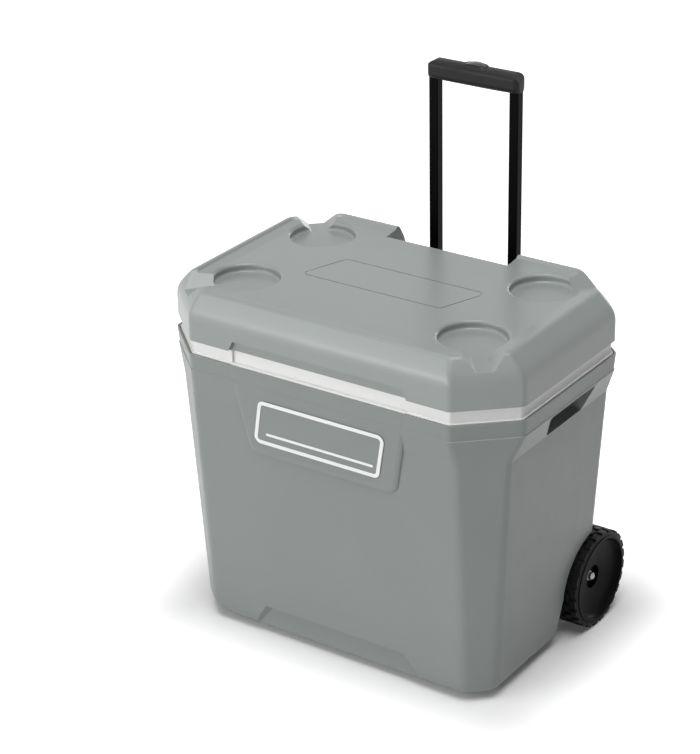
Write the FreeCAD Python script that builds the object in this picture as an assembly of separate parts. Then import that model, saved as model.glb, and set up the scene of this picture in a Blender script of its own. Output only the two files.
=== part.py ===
import FreeCAD, Part
import math
import os

V = FreeCAD.Vector

# Driving dimensions, millimetres. X is the long side, Y runs front to back, Z is up.

# Overall form: an eight-sided plan, given by the lid's skirt.
lid_half_width = 280.0
lid_half_depth = 186.0
facet_run_x = 73.0
facet_run_y = 66.0
rim_height = 454.0
floor_gap = 6.0

# Body: each level is inset from the lid's skirt.
flange_proud = 2.0
flange_height = 22.5
shoulder_height = 40.0
crease_inset = (15.0, 8.5, 2.5)
base_inset = (35.5, 31.0, 20.8)
base_corner_round = 26.0
crease_corner_round = 16.0
base_round = 24.0
base_round_steps = 4
flange_bead = 1.0
body_wall = 2.6

# Front boss, which carries the badge, and the toe recess under it.
boss_top_half = 144.0
boss_bottom_half = 119.0
boss_height = 131.0
boss_proud = 0.6
boss_foot_setback = 9.0
boss_depth = 20.0
boss_rise = 20.0
boss_side_draft = 7.0
boss_foot_draft = 14.0
boss_round = 20.0
boss_edge_wide = 9.0
boss_edge_deep = 4.0
boss_edge_steps = 4
toe_top_half = 110.0
toe_bottom_half = 144.0
toe_height = 40.0
toe_setback = 6.0
toe_draft = 9.0

# Hand pockets in the two ends.
pocket_centre_y = 8.0
pocket_half_top = 62.0
pocket_half_bottom = 51.0
pocket_height = 41.0
pocket_wall_gap = 2.0
pocket_taper = 9.0
pocket_drop = 3.0
pocket_round = 5.0

# Liner: white tub with a rim band that shows below the lid.
band_height = 19.2
band_inset = 5.0
band_grip_setback = 4.0
band_grip_half = 140.0
lip_inset = 2.3
lip_thick = 2.0
lip_rise = 0.8
foam_drop = 6.0
liner_wall = 2.4
cavity_top_inset = (36.0, 38.0, 36.0)
cavity_bottom_inset = (54.0, 52.0, 46.0)
cavity_corner_round = 28.0
cavity_floor = 42.0
well_gap_x = 15.0
well_gap_y = 14.0
well_gap_z = 17.0
step_gap = 20.0
rim_skin = 3.0
lid_gap = 0.3

# Lid.
skirt_height = 42.0
bevel_height = 26.5
bevel_inset = (24.0, 17.0, 19.0)
lid_corner_round = 12.0
knee_reach = 12.0
knee_steps = 4
rim_reach = 3.5
rim_steps = 3
lid_wall = 3.0
tray_depth = 5.0
rim_land = 6.0
rim_step = 3.0
tray_slope = 17.0
lid_void_height = 36.0
cup_inset_x = 98.0
cup_inset_front = 99.0
cup_inset_rear = 91.0
cup_radius = 46.5
cup_rim_radius = 51.0
cup_foot_round = 4.0
cup_depth = 12.0
channel_half_inner = 10.0
channel_half_outer = 11.5
channel_slope = 1.0
channel_fall = 3.0
channel_start = 20.0
channel_round = 3.0
cutout_half = 100.0
cutout_depth = 51.0
cutout_ledge = 14.0
notch_half = 143.0
notch_height = 15.0
notch_setback = 6.0
notch_slant = 8.0
plug_depth = 14.0
plug_clearance = 3.0
plug_draft = 2.0
lid_liner_thick = 2.6
panel_half_x = 127.0
panel_half_y = 38.0
panel_skew = 26.0
panel_line = 1.6
panel_round = 9.0
panel_raise = 0.8

# Wheels and axle.
wheel_radius = 72.0
wheel_face_inset = 16.0
wheel_width = 46.0
wheel_inset = 55.0
tread_depth = 2.6
tread_rows = 4
tread_blocks = 24
tyre_thick = 7.0
rim_ring_width = 5.0
hub_recess_radius = 17.0
hub_recess_x = 21.0
dish_depth = 14.0
dish_wall_depth = 9.0
dish_wall_run = 8.0
hub_skin = 3.0
axle_radius = 4.0
axle_bore_clearance = 0.05
axle_end_inset = 14.0
cap_radius = 5.6
arch_clearance = 7.0
arch_side_clearance = 6.0
arch_foot_reach = 103.0
axle_plate = 12.0
axle_step_clearance = 16.0
bush_wall = 2.5

# Tow handle.
tube_x = 65.3
tube_standoff = 27.0
tube_width = 14.6
tube_depth = 14.4
tube_wall = 1.2
tube_round = 1.6
grip_bottom = 282.0
grip_height = 30.5
grip_length = 148.0
grip_depth = 27.0
grip_wall = 2.4
grip_round = 11.0
grip_end_round = 16.5
grip_belly = 3.0
grip_split = 12.5
mound_rise = 1.5
mound_foot_x = 10.0
mound_foot_y = 4.0
mound_top_x = 3.0
mound_top_y = 1.5
mound_drop = 4.0
grip_screw_x = 38.0
grip_screw_y = 6.4
grip_screw_radius = 1.5
grip_screw_head = 2.4
grip_post_radius = 3.0
handle_travel = 245.0
tube_overlap = 72.0
guide_gap = 0.4
guide_wall = 3.4
keyway_depth = 2.2
keyway_width = 6.4
guide_bottom = 124.0
collar_half = 90.0
collar_height = 46.0
collar_drop = 4.0
collar_reach = 16.0
collar_pocket = 28.0
foot_half = 90.0
foot_height = 34.0
foot_floor = 5.0
foot_pocket = 50.0
sleeve_wall = 5.0
bracket_round = 9.0
bracket_screw_x = 26.0

# Handle release: button, rods and lock pins.
button_half_x = 15.0
button_half_y = 7.5
button_proud = 2.6
button_crown = 42.0
button_travel = 5.0
button_clearance = 0.3
yoke_drop = 7.4
yoke_height = 4.0
yoke_width = 6.0
tube_in_grip = 10.5
rod_radius = 1.75
pin_radius = 2.7
pin_length = 9.0
pin_travel = 2.5
pin_reach = 1.7
spring_wire = 0.5
spring_coils = 5
button_spring_radius = 2.6
lock_spring_radius = 1.9
lock_spring_wire = 0.35
lock_spring_coils = 3

# Hinges.
hinge_inset = 125.0
hinge_width = 48.0
hinge_leaf = 2.2
hinge_standoff = 4.6
knuckle_radius = 3.6
hinge_pin_radius = 1.8
knuckle_gap = 0.3

# Drain in the left end.
drain_y = -60.0
drain_z = 62.0
drain_bore = 7.0
drain_tube = 10.5
drain_flange = 17.0
drain_nut_radius = 15.0
drain_cap_radius = 14.2
drain_cap_groove = 0.8
drain_cap_ribs = 20

# Badge: a plain frame with a bar, on the boss.
badge_half_x = 102.0
badge_half_z = 34.2
badge_drop = 95.0
badge_lean = 7.3
badge_round = 10.0
badge_line = 5.6
badge_plate = 0.8
badge_raise = 0.8
badge_bar_half = 87.0
badge_bar_drop = 15.0
badge_bar = 4.0

# Fasteners and fits.
seat_gap = 0.2
screw_radius = 2.0
screw_head_radius = 4.0
screw_head = 2.4
foot_pad_inset_x = 130.0
foot_pad_half = 28.0
foot_pad_depth = 16.0
foot_pad_inset_y = 74.0
foot_pad_round = 5.0

# Derived values.
run = math.hypot(facet_run_x, facet_run_y)
facet_normal = (facet_run_y / run, facet_run_x / run)
lid_facet = (lid_half_width - facet_run_x) * facet_normal[0] + lid_half_depth * facet_normal[1]
flange_top_z = rim_height - band_height - lid_gap
flange_bottom_z = flange_top_z - flange_height
crease_z = flange_bottom_z - shoulder_height
lip_top_z = flange_top_z + lip_rise
rim_top_z = rim_height - lid_gap
knee_z = rim_height + skirt_height
lid_top_z = knee_z + bevel_height
tray_z = lid_top_z - tray_depth
cup_floor_z = tray_z - cup_depth
cup_x = lid_half_width - cup_inset_x
cup_front_y = -lid_half_depth + cup_inset_front
cup_rear_y = lid_half_depth - cup_inset_rear
cutout_front_y = lid_half_depth - cutout_depth
hinge_x = lid_half_width - hinge_inset
hinge_axis_y = lid_half_depth + hinge_standoff
foot_pad_x = lid_half_width - foot_pad_inset_x
foot_pad_y = -lid_half_depth + foot_pad_inset_y
wheel_face_x = lid_half_width - wheel_face_inset
wheel_y = lid_half_depth - wheel_inset
wheel_z = wheel_radius
axle_end_x = wheel_face_x - axle_end_inset
arch_foot_y = wheel_y - arch_foot_reach
tube_y = lid_half_depth + tube_standoff
collar_rear = tube_y + collar_reach
arch_radius = wheel_radius + arch_clearance
arch_x = wheel_face_x - wheel_width - arch_side_clearance
grip_z = rim_height + grip_bottom
split_z = grip_z + grip_split
grip_top_z = grip_z + grip_height
tube_top_z = grip_z + tube_in_grip
tube_bottom_z = rim_height - tube_overlap
collar_top_z = rim_height - collar_drop
collar_bottom_z = collar_top_z - collar_height
guide_top_z = collar_top_z - 4.0
yoke_z = grip_top_z - yoke_drop - yoke_height
button_top_z = grip_top_z + mound_rise + button_proud

# The part's origin is the middle of its footprint on the floor, so everything is moved forward by this.
front_reach = lid_half_depth + boss_proud + flange_proud
rear_reach = max(tube_y + grip_depth / 2, collar_rear, wheel_y + wheel_radius)
shift_y = (front_reach - rear_reach) / 2


# Shared shapes.

def box(x0, x1, y0, y1, z0, z1):
    return Part.makeBox(x1 - x0, y1 - y0, z1 - z0, V(x0, y0, z0))


def cylinder_x(radius, x0, x1, y, z):
    return Part.makeCylinder(radius, x1 - x0, V(x0, y, z), V(1, 0, 0))


def cylinder_y(radius, y0, y1, x, z):
    return Part.makeCylinder(radius, y1 - y0, V(x, y0, z), V(0, 1, 0))


def cylinder_z(radius, z0, z1, x, y):
    return Part.makeCylinder(radius, z1 - z0, V(x, y, z0), V(0, 0, 1))


def mirror_x(shape):
    return shape.mirror(V(0, 0, 0), V(1, 0, 0))


def rounded_wire(points, radius):
    """Closed wire through the points, with each corner turned into an arc."""
    edges = []
    ends = []
    count = len(points)
    for i in range(count):
        corner = points[i]
        to_last = (points[i - 1] - corner).normalize()
        to_next = (points[(i + 1) % count] - corner).normalize()
        half = to_last.getAngle(to_next) / 2
        reach = radius / math.tan(half)
        bisector = (to_last + to_next).normalize()
        middle = corner + bisector * (radius / math.sin(half) - radius)
        ends.append((corner + to_last * reach, middle, corner + to_next * reach))
    for i in range(count):
        start, middle, end = ends[i]
        edges.append(Part.Arc(start, middle, end).toShape())
        edges.append(Part.makeLine(end, ends[(i + 1) % count][0]))
    return Part.Wire(edges)


def rounded_box(x0, x1, y0, y1, z0, z1, radius):
    corners = [V(x0, y0, z0), V(x1, y0, z0), V(x1, y1, z0), V(x0, y1, z0)]
    return Part.Face(rounded_wire(corners, radius)).extrude(V(0, 0, z1 - z0))


def plan(inset, z, radius):
    """Eight-sided plan wire at height z, inset from the lid's skirt along X, Y and the facets."""
    half_x = lid_half_width - inset[0]
    half_y = lid_half_depth - inset[1]
    facet = lid_facet - inset[2]
    a = (facet - facet_normal[1] * half_y) / facet_normal[0]
    b = (facet - facet_normal[0] * half_x) / facet_normal[1]
    quarter = [(a, -half_y), (half_x, -b), (half_x, b), (a, half_y)]
    corners = quarter + [(-x, -y) for x, y in quarter]
    return rounded_wire([V(x, y, z) for x, y in corners], radius)


def grown(inset, amount):
    return tuple(value - amount for value in inset)


def loft(wires):
    return Part.makeLoft(wires, True, True)


def extruded(points, direction):
    return Part.Face(Part.makePolygon(points + points[:1])).extrude(direction)


# Body.

def body_form(grow, lift=0.0, top=0.0):
    """Body's outer form grown by an amount, with its base lifted and its top raised."""
    radius = base_round + grow
    low = floor_gap + lift
    flange_round = lid_corner_round + flange_proud
    levels = []
    for i in range(base_round_steps + 1):
        turn = math.radians(90 * i / base_round_steps)
        inset = grown(base_inset, -radius * (1 - math.sin(turn)))
        levels.append((inset, low + radius * (1 - math.cos(turn)), base_corner_round))
    levels.append((crease_inset, crease_z, crease_corner_round))
    levels.append(((-flange_bead,) * 3, flange_bottom_z - flange_bead, flange_round))
    levels.append(((0.0,) * 3, flange_bottom_z, flange_round))
    levels.append(((-flange_proud,) * 3, flange_top_z + top, flange_round))
    return loft([plan(grown(inset, grow), z, corner + grow) for inset, z, corner in levels])


def boss_face_y(z):
    """Y of the boss's leaning face at height z."""
    top_y = -lid_half_depth - flange_proud - boss_proud
    foot_y = -lid_half_depth + boss_foot_setback
    return top_y + (foot_y - top_y) * (flange_top_z - z) / boss_height


def front_boss():
    """Pad on the front with a leaning face and rounded edges, widest at the flange."""
    top = flange_top_z + boss_rise
    foot = flange_top_z - boss_height
    rise = (boss_top_half - boss_bottom_half) * boss_rise / boss_height
    levels = [(boss_depth, boss_side_draft, boss_foot_draft)]
    for i in range(boss_edge_steps, -1, -1):
        turn = math.radians(90 * i / boss_edge_steps)
        spread = -boss_edge_wide * (1 - math.sin(turn))
        levels.append((boss_edge_deep * (1 - math.cos(turn)), spread, spread))
    wires = []
    for setback, wide, drop in levels:
        low = foot - drop
        corners = [
            V(-boss_top_half - rise - wide, boss_face_y(top) + setback, top),
            V(boss_top_half + rise + wide, boss_face_y(top) + setback, top),
            V(boss_bottom_half + wide, boss_face_y(low) + setback, low),
            V(-boss_bottom_half - wide, boss_face_y(low) + setback, low),
        ]
        wires.append(rounded_wire(corners, boss_round + wide))
    above = box(-lid_half_width, lid_half_width, -2 * lid_half_depth, 0, flange_top_z, top + 1)
    return loft(wires).cut(above)


def toe_recess(grow):
    """Shallow cut with sloping sides along the foot of the front wall."""
    y = -lid_half_depth + base_inset[1] + toe_setback + grow
    low = floor_gap - 1
    wires = []
    for reach in (0.0, toe_draft):
        wide = grow + reach
        high = floor_gap + toe_height + grow + reach / 2
        corners = [
            V(-toe_bottom_half - wide, y - reach, low),
            V(toe_bottom_half + wide, y - reach, low),
            V(toe_top_half + wide, y - reach, high),
            V(-toe_top_half - wide, y - reach, high),
        ]
        wires.append(Part.makePolygon(corners + corners[:1]))
    return loft(wires)


def hand_pocket(grow):
    """Pocket under the flange of the right end, narrower towards its back wall."""
    mouth_x = lid_half_width + 5
    tub_x = lid_half_width - cavity_top_inset[0] + liner_wall
    back_x = tub_x + pocket_wall_gap + body_wall - grow
    high = flange_bottom_z - pocket_drop + grow
    low = high - pocket_height - grow * 2
    wires = []
    for x, taper, lift in ((mouth_x, 0.0, 0.0), (back_x, pocket_taper, pocket_taper)):
        top_half = pocket_half_top + grow - taper
        low_half = pocket_half_bottom + grow - taper
        corners = [
            V(x, pocket_centre_y - low_half, low + lift),
            V(x, pocket_centre_y + low_half, low + lift),
            V(x, pocket_centre_y + top_half, high),
            V(x, pocket_centre_y - top_half, high),
        ]
        wires.append(rounded_wire(corners, pocket_round + grow))
    return loft(wires)


def wheel_arch(grow):
    """Arch over the right wheel, round above the axle and running down and forward to the base."""
    radius = arch_radius + grow
    x = arch_x - grow
    lean = math.sqrt(0.5) * radius
    rear = lid_half_depth + 60
    top = V(x, wheel_y, wheel_z + radius)
    front = V(x, wheel_y - radius, wheel_z)
    arc = Part.Arc(top, V(x, wheel_y - lean, wheel_z + lean), front)
    foot = V(x, arch_foot_y - grow, -10)
    path = [
        arc.toShape(),
        Part.makeLine(front, foot),
        Part.makeLine(foot, V(x, rear, -10)),
        Part.makeLine(V(x, rear, -10), V(x, rear, wheel_z + radius)),
        Part.makeLine(V(x, rear, wheel_z + radius), top),
    ]
    return Part.Face(Part.Wire(path)).extrude(V(lid_half_width, 0, 0))


def axle_step(grow, plate=0.0):
    """Step under the rear of the base, which leaves room for the axle between its two plates."""
    half = arch_x - axle_plate + grow + plate
    front = wheel_y - axle_step_clearance - grow
    high = wheel_z + axle_step_clearance + grow
    return box(-half, half, front, lid_half_depth, -10, high)


def both(shape):
    return shape.fuse(mirror_x(shape))


def drain_hole(radius):
    return cylinder_x(radius, -lid_half_width, -lid_half_width / 2, drain_y, drain_z)


def body_void():
    """Space inside the shell, which the foam and the tub fill."""
    void = body_form(-body_wall, body_wall, 1.0)
    void = void.cut(both(wheel_arch(body_wall)))
    void = void.cut(axle_step(body_wall, axle_plate))
    void = void.cut(both(hand_pocket(body_wall)))
    return void.cut(toe_recess(body_wall))


def body_shell():
    shell = body_form(0.0).fuse(front_boss())
    shell = shell.cut(body_void())
    shell = shell.cut(both(wheel_arch(0.0)))
    shell = shell.cut(axle_step(0.0))
    shell = shell.cut(both(hand_pocket(0.0)))
    shell = shell.cut(toe_recess(0.0))
    shell = shell.cut(drain_hole(drain_tube + seat_gap))
    holes = cylinder_x(axle_radius + bush_wall, -lid_half_width, lid_half_width, wheel_y, wheel_z)
    return shell.cut(holes)


# Tub and foam.

def wheel_well(grow):
    """Block that the tub gives up over each wheel."""
    x = arch_x - well_gap_x - grow
    front = arch_foot_y - well_gap_y - grow
    high = wheel_z + arch_radius + well_gap_z + grow
    return both(box(x, lid_half_width, front, 2 * lid_half_depth, 0, high))


def tub_step(grow):
    """Raised rear floor of the tub over the axle."""
    reach = axle_step_clearance + step_gap + grow
    return box(-lid_half_width, lid_half_width, wheel_y - reach, 2 * lid_half_depth, 0, wheel_z + reach)


def tub_form(grow, top_z):
    low = cavity_floor - grow
    wires = [
        plan(grown(cavity_bottom_inset, grow), low, cavity_corner_round + grow),
        plan(grown(cavity_top_inset, grow), top_z, cavity_corner_round + grow),
    ]
    form = loft(wires)
    return form.cut(wheel_well(-grow)).cut(tub_step(-grow))


def tub_mouth():
    """Opening of the tub, run on upwards through the rim."""
    form = [plan(cavity_top_inset, z, cavity_corner_round) for z in (flange_top_z, rim_height + 1)]
    return loft(form)


def rim_band(top_z, low_z, inset):
    """Collar of the tub's rim, set back in the middle of the front for fingers."""
    band = loft([plan((inset,) * 3, z, lid_corner_round - inset) for z in (low_z, top_z)])
    rear = -lid_half_depth + inset + band_grip_setback
    grip = box(-band_grip_half, band_grip_half, -2 * lid_half_depth, rear, low_z - 1, top_z + 1)
    return band.cut(grip)


def inner_liner():
    """Tub that holds the food and drinks, up to the underside of the rim."""
    top_z = rim_top_z - rim_skin - seat_gap
    tub = tub_form(liner_wall, top_z).cut(tub_form(0.0, top_z + 1))
    return tub.cut(drain_hole(drain_tube + seat_gap))


def rim_collar():
    """Rim round the tub's mouth: a hanging band, a top skin and a thin lip that closes the foam's top."""
    low_z = lip_top_z - lip_thick
    collar = rim_band(rim_top_z, low_z, band_inset)
    collar = collar.cut(rim_band(rim_top_z - rim_skin, low_z - 1, band_inset + rim_skin))
    lip = rim_band(lip_top_z, low_z, lip_inset)
    collar = collar.fuse(lip.cut(rim_band(lip_top_z + 1, low_z - 1, band_inset + rim_skin)))
    return collar.cut(tub_mouth())


def foam_core():
    """Insulation between the shell and the tub, up into the hollow rim."""
    top_z = rim_top_z - rim_skin - seat_gap
    lower = body_form(-body_wall - seat_gap, body_wall + seat_gap)
    low = flange_top_z - foam_drop
    wide = 2 * lid_half_width
    lower = lower.cut(box(-wide, wide, -wide, wide, low, low + wide))
    upper = rim_band(top_z, low - 1.0, band_inset + rim_skin + seat_gap)
    foam = lower.fuse(upper)
    foam = foam.cut(both(wheel_arch(body_wall + seat_gap)))
    foam = foam.cut(axle_step(body_wall + seat_gap, axle_plate))
    foam = foam.cut(both(hand_pocket(body_wall + seat_gap)))
    foam = foam.cut(toe_recess(body_wall + seat_gap))
    foam = foam.cut(tub_form(liner_wall + seat_gap, rim_height))
    return foam.cut(drain_hole(drain_tube + seat_gap))


def feet():
    """Two pads under the front of the base."""
    pads = []
    for x in (-foot_pad_x, foot_pad_x):
        y0 = foot_pad_y - foot_pad_depth / 2
        x0 = x - foot_pad_half
        x1 = x + foot_pad_half
        pads.append(rounded_box(x0, x1, y0, y0 + foot_pad_depth, 0, floor_gap, foot_pad_round))
    return Part.makeCompound(pads)


# Badge.

def badge_outline(half_x, half_z, thick, radius):
    """Leaning rounded panel standing in the XZ plane, with its back at y = 0."""
    lean = badge_lean * half_z / badge_half_z
    corners = [
        V(-half_x - lean, 0, -half_z),
        V(half_x - lean, 0, -half_z),
        V(half_x + lean, 0, half_z),
        V(-half_x + lean, 0, half_z),
    ]
    return Part.Face(rounded_wire(corners, radius)).extrude(V(0, -thick, 0))


def on_boss(shape):
    """Move a panel drawn upright at the origin onto the boss's leaning face."""
    z = flange_top_z - badge_drop + band_height
    tilt = math.degrees(math.atan((boss_face_y(z - 1) - boss_face_y(z))))
    shape.rotate(V(0, 0, 0), V(1, 0, 0), tilt)
    shape.translate(V(0, boss_face_y(z) - seat_gap, z))
    return shape


def badge_plate_panel():
    return on_boss(badge_outline(badge_half_x, badge_half_z, badge_plate, badge_round))


def badge_frame():
    thick = badge_plate + badge_raise
    outer = badge_outline(badge_half_x, badge_half_z, thick, badge_round)
    inner_round = badge_round - badge_line
    inner = badge_outline(badge_half_x - badge_line, badge_half_z - badge_line, 3 * thick, inner_round)
    frame = outer.cut(inner)
    low = -badge_bar_drop - badge_bar
    bar = rounded_box(-badge_bar_half, badge_bar_half, 0, badge_bar, 0, thick, badge_bar / 2 - 0.1)
    bar.rotate(V(0, 0, 0), V(1, 0, 0), 90)
    bar.translate(V(0, 0, low))
    lines = Part.makeCompound([frame, bar])
    lines = lines.common(box(-200, 200, -thick, -badge_plate, -100, 100))
    return on_boss(lines)


# Lid.

def bent(first, corner, last, steps):
    """Levels of a smooth bend that leaves one line and joins the next, each level an inset and a height."""
    levels = []
    for i in range(steps + 1):
        t = i / steps
        shares = ((1 - t) ** 2, 2 * t * (1 - t), t ** 2)
        rows = zip(*[level[0] + (level[1],) for level in (first, corner, last)])
        values = [sum(share * value for share, value in zip(shares, row)) for row in rows]
        levels.append((tuple(values[:3]), values[3]))
    return levels


def bevel_level(share):
    """Level at a share of the way up the lid's bevel."""
    return tuple(value * share for value in bevel_inset), knee_z + bevel_height * share


def lid_form():
    """Lid's outer form: an upright skirt, a round knee, a bevel and a rim with a rounded outer edge."""
    flat = (0.0,) * 3
    upper = bevel_level(knee_reach / bevel_height)
    knee = bent((flat, knee_z - knee_reach), (flat, knee_z), upper, knee_steps)
    land = (grown(bevel_inset, -rim_reach), lid_top_z)
    edge = bent(bevel_level(1 - rim_reach / bevel_height), (bevel_inset, lid_top_z), land, rim_steps)
    levels = [(flat, rim_height)] + knee + edge
    return loft([plan(inset, z, lid_corner_round) for inset, z in levels])


def lid_tray():
    """Hollow inside the rim: a short step, then a long gentle slope down to the tray."""
    edge = grown(bevel_inset, -rim_land)
    step = grown(edge, -rim_step)
    floor = grown(step, -tray_slope)
    return loft([
        plan(floor, tray_z, lid_corner_round),
        plan(step, lid_top_z - rim_step, lid_corner_round),
        plan(edge, lid_top_z, lid_corner_round),
        plan(edge, lid_top_z + 5, lid_corner_round),
    ])


def cup_holder(x, y):
    """Cup holder: a straight wall with a rounded foot and a rounded lip, turned about its axis."""
    foot = cup_foot_round
    lip = cup_rim_radius - cup_radius
    high = tray_z + 10
    turn = math.sqrt(0.5)
    foot_arc = Part.Arc(
        V(cup_radius - foot, 0, cup_floor_z),
        V(cup_radius - foot + foot * turn, 0, cup_floor_z + foot - foot * turn),
        V(cup_radius, 0, cup_floor_z + foot),
    ).toShape()
    lip_arc = Part.Arc(
        V(cup_radius, 0, tray_z - lip),
        V(cup_rim_radius - lip * turn, 0, tray_z - lip + lip * turn),
        V(cup_rim_radius, 0, tray_z),
    ).toShape()
    path = [
        Part.makeLine(V(0, 0, cup_floor_z), V(cup_radius - foot, 0, cup_floor_z)),
        foot_arc,
        Part.makeLine(V(cup_radius, 0, cup_floor_z + foot), V(cup_radius, 0, tray_z - lip)),
        lip_arc,
        Part.makeLine(V(cup_rim_radius, 0, tray_z), V(cup_rim_radius, 0, high)),
        Part.makeLine(V(cup_rim_radius, 0, high), V(0, 0, high)),
        Part.makeLine(V(0, 0, high), V(0, 0, cup_floor_z)),
    ]
    cup = Part.Face(Part.Wire(path)).revolve(V(0, 0, 0), V(0, 0, 1), 360)
    cup.translate(V(x, y, 0))
    return cup


def drain_channel(x, y):
    """Trough from a cup holder out through the nearest facet, falling and widening outwards."""
    side = 1 if x > 0 else -1
    end = 1 if y > 0 else -1
    out = V(side * facet_normal[0], end * facet_normal[1], 0)
    across = V(-out.y, out.x, 0)
    reach = lid_facet - abs(x) * facet_normal[0] - abs(y) * facet_normal[1] + 12
    ends = ((channel_start, channel_half_inner, 0.0), (reach, channel_half_outer, channel_fall))
    wires = []
    for distance, half, fall in ends:
        centre = V(x, y, 0) + out * distance
        low = cup_floor_z - fall
        high = lid_top_z + 8
        wide = half + channel_slope * (high - low)
        corners = [
            centre - across * half + V(0, 0, low),
            centre + across * half + V(0, 0, low),
            centre + across * wide + V(0, 0, high),
            centre - across * wide + V(0, 0, high),
        ]
        wires.append(rounded_wire(corners, channel_round))
    return loft(wires)


def cup_places():
    return [(x, y) for y in (cup_front_y, cup_rear_y) for x in (-cup_x, cup_x)]


def grip_cutout(grow):
    """Notch behind the tray for the fingers that lift the tow handle."""
    half = cutout_half + grow
    low = rim_height + cutout_ledge - grow
    return box(-half, half, cutout_front_y - grow, lid_half_depth + 20, low, lid_top_z + 20)


def finger_notch(grow):
    """Recess along the foot of the front skirt."""
    half = notch_half + grow
    y = -lid_half_depth + notch_setback + grow
    corners = [
        V(-half, y, rim_height - 1),
        V(half, y, rim_height - 1),
        V(half - notch_slant, y, rim_height + notch_height + grow),
        V(-half + notch_slant, y, rim_height + notch_height + grow),
    ]
    return extruded(corners, V(0, -60, 0))


def panel_shape(line):
    """Leaning rounded panel on the tray, inset by a line width."""
    half_x = panel_half_x - panel_skew / 2 - line
    half_y = panel_half_y - line
    lean = panel_skew / 2
    corners = [
        V(-half_x - lean, -half_y, tray_z - panel_raise),
        V(half_x - lean, -half_y, tray_z - panel_raise),
        V(half_x + lean, half_y, tray_z - panel_raise),
        V(-half_x + lean, half_y, tray_z - panel_raise),
    ]
    return Part.Face(rounded_wire(corners, panel_round - line)).extrude(V(0, 0, 3))


def lid_void(grow, low):
    """Space inside the lid, with a raised middle under the tray."""
    inset = (lid_wall - grow,) * 3
    high = rim_height + lid_void_height + grow
    skirt = loft([plan(inset, z, lid_corner_round - lid_wall + grow) for z in (low, high)])
    half = cup_x - cup_rim_radius - lid_wall + grow
    front = -lid_half_depth + bevel_inset[1] + rim_land + rim_step + tray_slope - grow
    rear = cutout_front_y - lid_wall + grow
    middle = box(-half, half, front, rear, high - 1, tray_z - lid_wall - panel_raise + grow)
    void = skirt.fuse(middle)
    return void.cut(grip_cutout(lid_wall - grow)).cut(finger_notch(lid_wall - grow))


def lid_shell():
    lid = lid_form().cut(lid_tray())
    for x, y in cup_places():
        lid = lid.cut(cup_holder(x, y)).cut(drain_channel(x, y))
    lid = lid.cut(grip_cutout(0.0)).cut(finger_notch(0.0))
    lid = lid.cut(panel_shape(0.0).cut(panel_shape(panel_line)))
    return lid.cut(lid_void(0.0, rim_height - 1))


def plug_form(inset, low, high=rim_height + lid_liner_thick):
    """Plug that drops into the tub's mouth, inset from its own outside."""
    top = grown(cavity_top_inset, -plug_clearance - inset)
    corner = cavity_corner_round - plug_clearance - inset
    return loft([plan(grown(top, -plug_draft), low, corner), plan(top, high, corner)])


def lid_liner():
    """White inner panel of the lid, with a shallow hollow plug that drops into the tub."""
    inset = (lid_wall + seat_gap,) * 3
    heights = (rim_height, rim_height + lid_liner_thick)
    panel = loft([plan(inset, z, lid_corner_round - lid_wall) for z in heights])
    panel = panel.cut(finger_notch(lid_wall + seat_gap))
    low = rim_height - plug_depth
    liner = panel.fuse(plug_form(0.0, low))
    return liner.cut(plug_form(liner_wall, low + liner_wall, heights[1] + 1))


def lid_foam():
    top = lid_void(-seat_gap, rim_height + lid_liner_thick + seat_gap)
    low = rim_height - plug_depth + liner_wall + seat_gap
    return top.fuse(plug_form(liner_wall + seat_gap, low, rim_height + 2 * lid_liner_thick))


# Hinges: three body knuckles and two lid knuckles on one pin.

def knuckle_span(x, i):
    segment = hinge_width / 5
    start = x - hinge_width / 2 + i * segment
    low = start + (knuckle_gap / 2 if i else 0.0)
    high = start + segment - (knuckle_gap / 2 if i < 4 else 0.0)
    return low, high


def hinge_knuckles(x, indices, bore, tab_low, tab_high, tab_y):
    parts = []
    for i in indices:
        low, high = knuckle_span(x, i)
        parts.append(cylinder_x(knuckle_radius, low, high, hinge_axis_y, rim_height))
        parts.append(box(low, high, tab_y, tab_y + hinge_leaf, tab_low, tab_high))
    knuckles = parts[0].multiFuse(parts[1:])
    return knuckles, cylinder_x(bore, x - hinge_width, x + hinge_width, hinge_axis_y, rim_height)


def body_leaf(x):
    y = lid_half_depth + flange_proud + seat_gap
    clear = knuckle_radius + 0.6
    x0 = x - hinge_width / 2
    radius = hinge_pin_radius + 0.02
    knuckles, bore = hinge_knuckles(x, (0, 2, 4), radius, rim_height - clear - 1, rim_height, y)
    low = flange_bottom_z + 2
    plate = box(x0, x0 + hinge_width, y, y + hinge_leaf, low, rim_height - clear)
    wedge = box(x0, x0 + hinge_width, lid_half_depth - 3, y + 0.5, low, flange_top_z).cut(body_form(seat_gap))
    leaf = plate.fuse(wedge).fuse(knuckles).cut(bore)
    return leaf.cut(screw_shanks(body_screw_places(x), 0.05))


def lid_leaf(x):
    y = lid_half_depth + seat_gap
    clear = knuckle_radius + 0.6
    x0 = x - hinge_width / 2
    tab_y = hinge_axis_y - knuckle_radius + 0.4
    radius = hinge_pin_radius + 0.08
    knuckles, bore = hinge_knuckles(x, (1, 3), radius, rim_height, rim_height + clear + 1, tab_y)
    plate = box(x0, x0 + hinge_width, y, tab_y + hinge_leaf, rim_height + clear, rim_height + clear + 24)
    leaf = plate.fuse(knuckles).cut(bore)
    return leaf.cut(screw_shanks(lid_screw_places(x), 0.05))


def hinge_pin(x):
    half = hinge_width / 2 + 1
    return cylinder_x(hinge_pin_radius, x - half, x + half, hinge_axis_y, rim_height)


# Screws: each place is x, z, the outer face that the head sits on, and the shank's length.

def body_screw_places(x):
    face = lid_half_depth + flange_proud + seat_gap + hinge_leaf
    z = (flange_top_z + flange_bottom_z) / 2 + 1
    return [(x + side * hinge_width * 0.3, z, face, 12.0) for side in (-1, 1)]


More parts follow.
